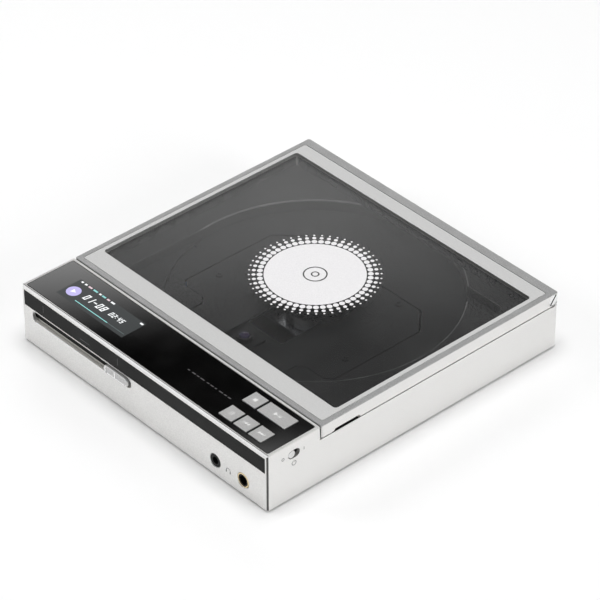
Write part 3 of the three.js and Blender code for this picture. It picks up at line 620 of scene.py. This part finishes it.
def switch_marks():
    """Off, on and standby signs round the power switch."""
    y, z = POWER_SWITCH
    off = hoop(y - 5.7, z, 0.6, 0.24)
    on = rect(y + 5.2, z, 0.28, 1.4)
    standby_z = z - 4.5
    bar = rect(y, standby_z + 0.85, 0.26, 1.0)
    ring = bow(y, standby_z, 1.05, 0.26, 120, 420, 24)
    inlay("switch_marks", right_of("base_shell"), [on, bar, ring], DARK_INK, "base", [off])


base_shell()
refined("bottom_plate", [CASE, CUT])
for corner in CORNERS:
    refined("bottom_screw_" + corner, [STEEL, STEEL], width=0.1)
    refined("foot_" + corner, [RUBBER, RUBBER], width=0.25, segments=2)
    refined("damper_" + corner, [RUBBER, RUBBER], width=0.3, segments=2)
refined("front_band", [BAND, BAND], width=0.06)
band_marks()
headphone_mark()
switch_marks()


# ---- tray and the drive under it ----
COVER_SCREWS = ((-38.5, -4), (38.5, -4), (26, 37))
SCREW_SEAT = 1.7
SCREW_HEAD = 1.45
HUB_BALL_ANGLES = (90, 210, 330)
HUB_BALL_REACH = 6.9
HUB_BALL_HEIGHT = 18.9
HUB_BALL_RADIUS = 0.85
PIP_ANGLES = (-168, -48, 72)
PIP_REACH = 61.4
PIP_RADIUS = 0.7
# Deck edges nearer the spindle than this are the well's rim, which gets the wider chamfer.
WELL_REACH = 63
RIM_CHAMFER = 0.55
TRAY_CHAMFER = 0.25


def cross(r, arm, sides=24):
    """A plus-shaped outline with its points at even angles: r is its reach, arm half its width."""
    points = []
    for i in range(sides):
        a = 2 * math.pi * i / sides
        near = abs((math.degrees(a) + 45) % 90 - 45)
        lean = math.radians(near)
        reach = r / math.cos(lean) if math.tan(lean) < arm / r else arm / math.sin(lean)
        points.append((reach * math.cos(a), reach * math.sin(a)))
    return points


def cover_screws():
    """Three cross-head screws in the drive's cover."""
    top = box("mech_cover")[1].z
    bm = bmesh.new()
    for x, y in COVER_SCREWS:
        place = plane(Vector((x, y, top)), X, Y)
        recess = cross(1.0, 0.26)
        head = circle(0, 0, SCREW_HEAD, 24)
        add_ring(bm, circle(0, 0, SCREW_SEAT, 24), head, place, 0.02, 0.3)
        add_ring(bm, head, recess, place, 0.02, 0.5)
        add_prism(bm, recess, place, 0.02, 0.12)
    finished(bm, "cover_screws", [BLACK], "base")


def hub_balls():
    """Three sprung balls that grip the disc's centre hole."""
    hub = middle("turntable_hub")
    bm = bmesh.new()
    for angle in HUB_BALL_ANGLES:
        x, y = polar(hub, HUB_BALL_REACH, math.radians(angle))
        spot = Matrix.Translation(Vector((x, y, HUB_BALL_HEIGHT)) * MM)
        bmesh.ops.create_icosphere(bm, subdivisions=3, radius=HUB_BALL_RADIUS * MM, matrix=spot)
    finished(bm, "hub_balls", [STEEL], "spindle")


def well_marks():
    """Small moulded rest pips near the rim of the well."""
    hub = middle("turntable_hub")
    floor_z = box("mech_cover")[1].z + 0.2
    bm = bmesh.new()
    for angle in PIP_ANGLES:
        x, y = polar(hub, PIP_REACH, math.radians(angle))
        add_prism(bm, circle(0, 0, PIP_RADIUS, 20), plane(Vector((x, y, floor_z)), X, Y), -0.1, 0.9)
    break_edges(bm, 0.2, segments=2)
    finished(bm, "well_pips", [BLACK], "base")


def disc_tray():
    """The tray: matt, with a soft bright lip round the well and the finger pocket, which is a painted
    highlight.
    """
    hub = middle("turntable_hub")
    deck = box("disc_tray")[1].z

    def on_rim(v):
        near = math.hypot(v.co.x / MM - hub.x, v.co.y / MM - hub.y) < WELL_REACH
        return near and v.co.z > (deck - 0.05) * MM

    def lip(edge):
        return all(on_rim(v) for v in edge.verts)

    bm = cleaned("disc_tray")
    break_edges(bm, RIM_CHAMFER, lip, segments=2)
    break_edges(bm, TRAY_CHAMFER, lambda e: not on_bevel(e), segments=2)
    bm.normal_update()
    # Painted highlight: the chamfers round the well and pocket are paler grey.
    paint(bm, 2, lambda c, n: 0.2 < n.z < 0.98 and c.z > deck - 0.6)
    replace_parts(finished(bm, "disc_tray_skin", [BLACK, BLACK, PAINTED_SHEEN], "base"), "disc_tray")


disc_tray()
refined("mech_cover", [BLACK, BLACK], width=0.2, segments=2)
cover_screws()
well_marks()
refined("mech_frame", [STEEL, STEEL], width=0.15)
refined("spindle_motor", [STEEL, STEEL], width=0.5, segments=2)
refined("sled_motor", [STEEL, STEEL], width=0.3, segments=2)
refined("lead_screw", [STEEL, STEEL], width=0)
refined("pickup_carriage", [BLACK, BLACK], width=0.2)
refined("objective_lens", [LENS, LENS], width=0)
refined("turntable_hub", [BLACK, BLACK], width=0.2)
refined("hub_pad", [RUBBER, RUBBER], width=0.08)
hub_balls()
for side in ("left", "right"):
    refined("catch_magnet_" + side, [STEEL, STEEL], width=0.15)
    refined("guide_rod_" + side, [STEEL, STEEL], width=0.2)


# ---- control panel ----
# The display's signs are placed from the front left corner of its lit part.
# Dashes along the rear edge: place, length and ink.
DISPLAY_DASHES = [
    (2.0, 1.1, WHITE_LIGHT),
    (4.3, 1.3, WHITE_LIGHT),
    (7.0, 2.2, PINK_LIGHT),
    (10.3, 2.6, TEAL_LIGHT),
    (13.3, 1.2, WHITE_LIGHT),
    (15.6, 2.2, TEAL_LIGHT),
    (18.4, 1.6, PINK_LIGHT),
    (21.2, 2.2, WHITE_LIGHT),
]
# How far the dashes lie from that edge, and how deep they are.
DASH_INSET = 0.8
DASH_DEPTH = 0.85
DISPLAY_MARGIN = 1.2
# Centre, then radius or size.
BADGE = (4.3, 5.5, 3.2)
BADGE_ARROW = (4.5, 5.5, 2.2)
# Text, its left end and foot, then its height.
TRACK_DIGITS = ("01-08", 10.0, 5.0, 3.6)
CLOCK_DIGITS = ("02:45", 25.6, 5.6, 2.6)
# Centre, then width and height.
BAR_DONE = (19.6, 2.0, 20.2, 0.42)
BAR_LEFT = (34.9, 2.0, 10.4, 0.3)
# The legend: where its row starts, and how long each stroke is.
LEGEND_START = (13.2, -65.1)
LEGEND_STROKES = (1.1, 2.0, 1.3, 2.4, 1.2, 1.9, 1.0, 2.2, 1.4, 1.7)
KEYS = ("stop", "play", "menu", "previous", "next")
# Digits: sizes for each unit of their height, and the bars that each one lights.
DIGIT_WIDTH = 0.5
DIGIT_STROKE = 0.15
DIGIT_STEP = 0.74
COLON_STEP = 0.4
SEGMENTS = {
    "0": "abcdef",
    "1": "bc",
    "2": "abged",
    "4": "fgbc",
    "5": "afgcd",
    "8": "abcdefg",
    "-": "g",
}
LEAN = 0.2


def display():
    """The lit part of the display and its signs."""
    lo, hi = box("display_module")
    width = hi.x - lo.x - 2 * DISPLAY_MARGIN
    depth = hi.y - lo.y - 2 * DISPLAY_MARGIN
    corner = Vector((lo.x + DISPLAY_MARGIN, lo.y + DISPLAY_MARGIN, box("control_glass")[1].z))
    place = plane(corner, X, Y)
    over = plane(corner + Z * INK_HIGH, X, Y)
    inlay("display_field", place, [rect(width / 2, depth / 2, width, depth)], FIELD, "base")
    inlay("display_badge", over, [circle(*BADGE)], LAVENDER, "base")
    dashes = {WHITE_LIGHT: [], TEAL_LIGHT: [], PINK_LIGHT: []}
    for u, w, light in DISPLAY_DASHES:
        dashes[light].append(rect(u, depth - DASH_INSET, w, DASH_DEPTH))
    dashes[WHITE_LIGHT].append(rect(width - 1.4, depth - 1.2, 1.7, 0.9))
    dashes[WHITE_LIGHT] += number(*TRACK_DIGITS) + number(*CLOCK_DIGITS)
    dashes[TEAL_LIGHT].append(rect(*BAR_DONE))
    inlay("display_white", over, dashes[WHITE_LIGHT], WHITE_LIGHT, "base")
    inlay("display_teal", over, dashes[TEAL_LIGHT], TEAL_LIGHT, "base")
    inlay("display_pink", over, dashes[PINK_LIGHT], PINK_LIGHT, "base")
    inlay("display_bar", over, [rect(*BAR_LEFT)], DIM_LIGHT, "base")
    badge = plane(corner + Z * 2 * INK_HIGH, X, Y)
    inlay("display_arrow", badge, [triangle(*BADGE_ARROW)], WHITE_LIGHT, "base")


def number(text, u, v, height):
    """Leaning seven-segment digits, as rectangles."""
    half = height / 2
    t = height * DIGIT_STROKE
    w = height * DIGIT_WIDTH
    bars = {
        "a": (0, height - t / 2, w, t),
        "g": (0, half, w, t),
        "d": (0, t / 2, w, t),
        "f": (-w / 2 + t / 2, height * 0.75, t, half),
        "b": (w / 2 - t / 2, height * 0.75, t, half),
        "e": (-w / 2 + t / 2, height * 0.25, t, half),
        "c": (w / 2 - t / 2, height * 0.25, t, half),
    }
    shapes = []
    for sign in text:
        if sign == ":":
            shapes += [rect(u + LEAN * h, v + h, t, t) for h in (height * 0.3, height * 0.7)]
            u += height * COLON_STEP
            continue
        for key in SEGMENTS[sign]:
            x, y, bar_w, bar_h = bars[key]
            shapes.append(rect(u + w / 2 + x + LEAN * y, v + y, bar_w, bar_h, LEAN))
        u += height * DIGIT_STEP
    return shapes


def key_signs():
    """Faint transport signs printed on the keycaps."""
    signs = {
        "stop": [rect(0, 0, 1.7, 1.7)],
        "play": [triangle(-0.7, 0, 2.0), rect(1.0, 0, 0.35, 1.9), rect(1.8, 0, 0.35, 1.9)],
        "menu": [rect(0, k * 0.75, 2.1, 0.32) for k in (-1, 0, 1)],
        "previous": [triangle(0.85, 0, 1.5, -1), triangle(-0.55, 0, 1.5, -1), rect(-1.5, 0, 0.3, 1.6)],
        "next": [triangle(-0.85, 0, 1.5), triangle(0.55, 0, 1.5), rect(1.5, 0, 0.3, 1.6)],
    }
    for key, shapes in signs.items():
        node = key + "_button"
        place = plane(Vector((middle(node).x, middle(node).y, box(node)[1].z)), X, Y)
        inlay(key + "_sign", place, shapes, KEY_INK, BODY_OF[node])


def legend():
    """A row of plain faint strokes where a legend would be."""
    strokes = []
    x, y = LEGEND_START
    for i, length in enumerate(LEGEND_STROKES):
        strokes.append(rect(x + length / 2, y, length, 0.55, 0.3))
        x += length + (0.8 if i % 3 else 1.5)
    inlay("panel_legend", top_of("control_glass"), strokes, GREY_INK, "base")


refined("control_glass", [PANEL_GLASS, DEEP_BLACK_AND_SHADE], width=0.14)
for key in KEYS:
    refined(key + "_button", [SATIN, SATIN], width=0.12)
refined("display_module", [BLACK, BLACK], width=0.3)
refined("front_board", [BOARD, BLACK], width=0)
display()
key_signs()
legend()


# ---- sliders, sockets, boards and batteries ----
# The painted shade behind the volume slot: its centre along X and Z, then its length and height.
VOLUME_SLOT = (-37.55, 16.35, 64, 4.9)
# The volume grip: where its back is along Y, how far its ridge lies left of its middle, the
# rounding of its front edge, its dishes, and the width and height of its stem.
GRIP_BACK = -76.85
GRIP_RIDGE = 0.85
GRIP_EDGE = 0.4
DISH_MARGIN = 0.2
DISH_SLOPE = 0.3
DISH_DEPTH = 0.25
GRIP_STEM = (3.0, 1.4)
SOCKET_HEIGHT = 7.85
JACK_COLLAR = 1.2
JACK_BORE = 2.4
JACK_LINER = (2.75, 2.15)


def volume_knob():
    """A pill-shaped grip with two shallow dishes either side of a ridge, on its stem."""
    lo, hi = box("volume_knob")
    x, z = middle("volume_knob").x, middle("volume_knob").z
    bm = bmesh.new()
    place = plane(Vector((0, GRIP_BACK, 0)), X, Z)
    add_prism(bm, pill(x, z, hi.x - lo.x, hi.z - lo.z, 16), place, 0, GRIP_BACK - lo.y)
    bmesh.ops.recalc_face_normals(bm, faces=bm.faces)
    front = [e for e in bm.edges if all(v.co.y < (lo.y + 0.01) * MM for v in e.verts)]
    bmesh.ops.bevel(
        bm, geom=front, offset=GRIP_EDGE * MM, segments=3, profile=0.5, affect="EDGES", material=0
    )
    whole = list(bm.verts) + list(bm.edges) + list(bm.faces)
    bmesh.ops.bisect_plane(bm, geom=whole, plane_co=Vector((x - GRIP_RIDGE, 0, 0)) * MM, plane_no=X)
    bm.normal_update()
    dishes = [
        f
        for f in bm.faces
        if f.normal.y < -0.99 and f.calc_center_median().y < (lo.y + 0.01) * MM
    ]
    bmesh.ops.inset_individual(bm, faces=dishes, thickness=DISH_MARGIN * MM, depth=0)
    walls = bmesh.ops.inset_individual(
        bm, faces=dishes, thickness=DISH_SLOPE * MM, depth=-DISH_DEPTH * MM
    )
    for face in walls["faces"]:
        face.material_index = 1
    # Painted shade: the dishes take the darker rim metal.
    for face in dishes:
        face.material_index = 2
    stem_end = plane(Vector((0, hi.y, 0)), X, Z)
    add_prism(bm, rect(x, z, *GRIP_STEM), stem_end, 0, hi.y - GRIP_BACK - 0.01)
    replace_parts(finished(bm, "volume_grip", [SATIN, CUT, SHADED_RIM], BODY_OF["volume_knob"]), "volume_knob")


def ring_jack(node, materials):
    """A socket whose collar is bright metal and whose bore and housing are black."""
    axis = middle(node)
    lo = box(node)[0]

    def inner(c, n):
        reach = math.hypot(c.x - axis.x, c.z - SOCKET_HEIGHT)
        return c.y > lo.y + JACK_COLLAR or (abs(n.y) < 0.3 and reach < JACK_BORE)

    refined(node, materials, width=0.3, segments=2, paints=[(2, inner)])
    liner = [circle(axis.x, SOCKET_HEIGHT, r) for r in JACK_LINER]
    inlay(node + "_liner", front_of(node), [], DEEP_BLACK_AND_SHADE, "base", [liner])


def usb_port():
    """A steel shell with a black tongue deep inside."""
    rear = box("usb_port")[1].y

    def tongue(c, n):
        return abs(c.z - SOCKET_HEIGHT) < 0.4 and c.y < rear - 1

    refined("usb_port", [STEEL, STEEL, BLACK], width=0.06, paints=[(2, tongue)])


def volume_slot_shade():
    """A black face of painted shade behind the volume slot, on the slide potentiometer."""
    inlay("volume_slot_shade", front_of("slide_potentiometer"), [rect(*VOLUME_SLOT)], DEEP_BLACK_AND_SHADE, "base")


volume_knob()
refined("slide_potentiometer", [TRACK_AND_PAINTED_LIGHT, TRACK_AND_PAINTED_LIGHT], width=0.1)
volume_slot_shade()
refined("power_switch_body", [BLACK, BLACK], width=0.1)
refined("power_knob", [SATIN, CUT], width=0.12)
refined("jack_3_5", [DEEP_BLACK_AND_SHADE, BLACK], width=0.25, segments=2)
ring_jack("jack_4_4", [GOLD, GOLD, DEEP_BLACK_AND_SHADE])
usb_port()
refined("digital_out_jack", [BLACK, BLACK], width=0.25, segments=2)
refined("port_board", [BOARD, BOARD], width=0)
refined("main_board", [BOARD, BOARD], width=0)
for side in ("left", "right"):
    refined("battery_" + side, [CELL, CELL], width=1.6, segments=3)


# ---- lid ----
# The clear part of the lid glass, inside its printed border, and the frame's walls under it.
WINDOW = {"x": 70.5, "front": -39.1, "rear": 68.3, "corner": 1.6}
WALLS = {"x": 70.8, "front": -40, "rear": 69, "top": 27}
BORDER_EDGE = 0.1
BORDER_CORNER = 0.9
# The ornament round the hub's axis: a disc, rows of dots (reach, radius) and rings (radius, width).
DISC_RADIUS = 21.07
DOT_RAYS = 52
DOT_ROWS = ((22.7, 1.22), (25.2, 0.85), (27.1, 0.45))
CENTRE_RINGS = ((4.8, 0.6), (1.5, 0.6))
# The painted shade under the finger notch: its place along Y, its width and its length.
NOTCH_SHADE = (-37.5, 1.5, 14)


def lid_print():
    """The light border printed round the glass, and the round ornament in its middle."""
    lo, hi = box("lid_glass")
    hub = middle("turntable_hub")
    edge = BORDER_EDGE
    outer = rounded(lo.x + edge, hi.x - edge, lo.y + edge, hi.y - edge, BORDER_CORNER)
    inner = rounded(-WINDOW["x"], WINDOW["x"], WINDOW["front"], WINDOW["rear"], WINDOW["corner"])
    place = top_of("lid_glass")
    inlay("lid_border_print", place, [], LIGHT_INK, "lid", [(outer, inner)])
    inlay("lid_disc_print", place, [circle(hub.x, hub.y, DISC_RADIUS, 96)], WHITE_INK, "lid")
    dots = []
    for i in range(DOT_RAYS):
        a = 2 * math.pi * i / DOT_RAYS
        for reach, r in DOT_ROWS:
            dots.append(circle(*polar(hub, reach, a), r, 16))
    inlay("lid_dot_print", place, dots, WHITE_INK, "lid")
    mark = plane(place.translation + Z * INK_HIGH, X, Y)
    rings = [hoop(hub.x, hub.y, r, width, 64) for r, width in CENTRE_RINGS]
    inlay("lid_centre_mark", mark, [], DARK_INK, "lid", rings)


def inside_window(c, n):
    """True for the frame's upright walls round the window."""
    inside = abs(c.x) < WALLS["x"] and WALLS["front"] < c.y < WALLS["rear"]
    return inside and abs(n.z) < 0.5 and c.z < WALLS["top"]


def window_corner(slant):
    """A test for those walls' rounded corners: slant is the least share of a normal along X and Y."""
    return lambda c, n: inside_window(c, n) and abs(n.x) > slant and abs(n.y) > slant


def lid_frame():
    """The frame: a darker rim on top that is painted shade, and dark walls round the window with pale
    corners that are painted highlights.
    """
    rim = box("lid_frame")[1].z - 0.2
    skins = [CASE, CUT, SKIRT, SHADED_RIM, PAINTED_SHEEN, TRACK_AND_PAINTED_LIGHT]
    # Painted shade on the top rim, and painted highlights on the window's rounded corners.
    paints = [
        (skins.index(SKIRT), inside_window),
        (skins.index(PAINTED_SHEEN), window_corner(0.25)),
        (skins.index(TRACK_AND_PAINTED_LIGHT), window_corner(0.5)),
        (skins.index(SHADED_RIM), lambda c, n: n.z > 0.5 and c.z > rim),
    ]
    refined("lid_frame", skins, width=0.1, paints=paints)


def notch_painted_shade():
    """A dark strip of painted shade under the finger notch, just over the tray."""
    y, width, length = NOTCH_SHADE
    ledge = plane(Vector((0, 0, box("disc_tray")[1].z + 0.3)), X, Y)
    strip = rect(box("base_shell")[1].x - 0.9, y, width, length)
    inlay("notch_painted_shade", ledge, [strip], DEEP_BLACK_AND_SHADE, "base")


def hinge_pin(side):
    """A bright pin with painted shade in its screwdriver slot and on its rim."""
    node = "hinge_pin_" + side
    lo, hi = box(node)
    face = max(abs(lo.x), abs(hi.x))

    def slot(c, n):
        return abs(n.x) > 0.9 and face - 1.5 < abs(c.x) < face - 0.2

    # Painted shade: the slot's floor and the rim chamfer are black.
    refined(node, [CUT, DEEP_BLACK_AND_SHADE, DEEP_BLACK_AND_SHADE], width=0.18, paints=[(2, slot)])


def gap_painted_shade():
    """A thin black strip of painted shade on the housing's rear wall that darkens the gap in front of
    the lid.
    """
    wall = LID_GAP - 0.2
    top = box("lid_frame")[1].z - 0.8
    side = box("lid_frame")[1].x - 0.15
    foot = box("lid_frame")[0].z + 0.1
    back, front = wall + 0.55, wall + 0.02
    section = [(front, foot), (back, foot), (back, top - 0.2), (back - 0.2, top), (front, top)]
    bm = bmesh.new()
    add_prism(bm, section, plane(Vector((-side, 0, 0)), Y, Z), 0, 2 * side)
    finished(bm, "gap_painted_shade", [DEEP_BLACK_AND_SHADE], "base")


lid_frame()
notch_painted_shade()
gap_painted_shade()
refined("lid_glass", [LID_PANE, LIGHT_INK], width=0.08)
lid_print()
refined("clamp_holder", [BLACK, BLACK], width=0.15)
refined("clamp_puck", [BLACK, BLACK], width=0.2)
refined("clamp_pad", [FELT, FELT], width=0.1)
for side in ("left", "right"):
    refined("hinge_bracket_" + side, [STEEL, STEEL], width=0.15)
    hinge_pin(side)
    refined("lid_strike_" + side, [STEEL, STEEL], width=0.15)


# ---- stage, light and camera ----
FLOOR_SIZE = 16
# Radiance against the sine of the elevation, in the dome and in the sector of the strip light.
DOME = [(0.0, 0.8), (0.2, 0.7), (0.42, 0.3), (0.7, 0.2), (1.0, 0.3)]
STRIP = [
    (0.0, 0.9),
    (0.47, 0.6),
    (0.50, 1.8),
    (0.575, 1.8),
    (0.592, 0.75),
    (0.600, 0.10),
    (0.606, 0.0),
    (0.627, 0.01),
    (0.636, 0.8),
    (0.68, 0.2),
    (1.0, 0.3),
]
STRIP_AZIMUTH = 138.5
STRIP_INNER = 10
STRIP_OUTER = 17
PEAK = 4.0
VIEW_AZIMUTH = math.radians(47.83)
VIEW_ELEVATION = math.radians(36.63)
VIEW_DISTANCE = 1.427
VIEW_TARGET = Vector((-4.6, 10.4, 14.4)) * MM
LENS_LENGTH = 208.7


def floor():
    bpy.ops.mesh.primitive_plane_add(size=FLOOR_SIZE)
    obj = bpy.context.object
    obj.name = "floor"
    f = Finish("floor", grey(0.93), {"Roughness": 0.3})
    obj.data.materials.append(f.material)


def area_light(name, place, size, power, mirrored=True):
    """A round lamp that faces the origin; metal and glass mirror it only if mirrored is true."""
    data = bpy.data.lights.new(name, "AREA")
    data.shape = "DISK"
    data.size = size
    data.energy = power
    obj = bpy.data.objects.new(name, data)
    bpy.context.scene.collection.objects.link(obj)
    obj.visible_glossy = mirrored
    obj.location = place
    inward = Vector((0, 0, 0)) - Vector(place)
    obj.rotation_euler = inward.to_track_quat("-Z", "Y").to_euler()


def radiance(tree, height, stops):
    """Looks a direction's height up in a table of stops, as a share of PEAK."""
    n = new_node(tree, "ShaderNodeValToRGB")
    for i, (at, value) in enumerate(stops):
        e = n.color_ramp.elements[i] if i < 2 else n.color_ramp.elements.new(at)
        e.position = at
        e.color = (*grey(value / PEAK), 1)
    tree.links.new(height, n.inputs["Fac"])
    return n.outputs["Color"]


def strip_sector(tree, axes):
    """One towards the strip light's azimuth and nought away from it."""
    flat = new_node(tree, "ShaderNodeCombineXYZ")
    tree.links.new(axes["X"], flat.inputs["X"])
    tree.links.new(axes["Y"], flat.inputs["Y"])
    level = new_node(tree, "ShaderNodeVectorMath", operation="NORMALIZE")
    tree.links.new(flat.outputs["Vector"], level.inputs[0])
    aim = new_node(tree, "ShaderNodeVectorMath", operation="DOT_PRODUCT")
    tree.links.new(level.outputs["Vector"], aim.inputs[0])
    toward = math.radians(STRIP_AZIMUTH)
    aim.inputs[1].default_value = (math.cos(toward), math.sin(toward), 0)
    mask = new_node(tree, "ShaderNodeMapRange", interpolation_type="SMOOTHSTEP")
    mask.inputs["From Min"].default_value = math.cos(math.radians(STRIP_OUTER))
    mask.inputs["From Max"].default_value = math.cos(math.radians(STRIP_INNER))
    tree.links.new(aim.outputs["Value"], mask.inputs["Value"])
    return mask.outputs["Result"]


def world():
    """A studio dome: a bright horizon, and behind the player a strip light under a black flag."""
    w = bpy.data.worlds.new("studio")
    bpy.context.scene.world = w
    w.use_nodes = True
    tree = w.node_tree
    direction = new_node(tree, "ShaderNodeTexCoord").outputs["Generated"]
    split = new_node(tree, "ShaderNodeSeparateXYZ")
    tree.links.new(direction, split.inputs[0])
    mix = new_node(tree, "ShaderNodeMix", data_type="RGBA")
    tree.links.new(strip_sector(tree, split.outputs), mix.inputs["Factor"])
    tree.links.new(radiance(tree, split.outputs["Z"], DOME), mix.inputs["A"])
    tree.links.new(radiance(tree, split.outputs["Z"], STRIP), mix.inputs["B"])
    tree.links.new(mix.outputs["Result"], tree.nodes["Background"].inputs["Color"])
    tree.nodes["Background"].inputs["Strength"].default_value = PEAK


def camera():
    data = bpy.data.cameras.new("camera")
    data.lens = LENS_LENGTH
    data.sensor_width = 36
    obj = bpy.data.objects.new("camera", data)
    bpy.context.scene.collection.objects.link(obj)
    flat = math.cos(VIEW_ELEVATION)
    back = Vector(
        (math.sin(VIEW_AZIMUTH) * flat, -math.cos(VIEW_AZIMUTH) * flat, math.sin(VIEW_ELEVATION))
    )
    obj.location = VIEW_TARGET + back * VIEW_DISTANCE
    obj.rotation_euler = (-back).to_track_quat("-Z", "Y").to_euler()
    bpy.context.scene.camera = obj


floor()
world()
area_light("top", (0.0, 0.0, 1.6), 1.0, 17, mirrored=False)
area_light("right", (1.6, 0.3, 0.7), 0.8, 8)
# The front left lamp lights the matt surfaces, and the dim card before it is what metal mirrors.
area_light("front_left", (-0.96, -0.96, 0.85), 0.5, 4.2, mirrored=False)
area_light("front_card", (-0.90, -0.90, 0.80), 0.5, 0.45)
camera()
bpy.context.scene.view_settings.view_transform = "Standard"
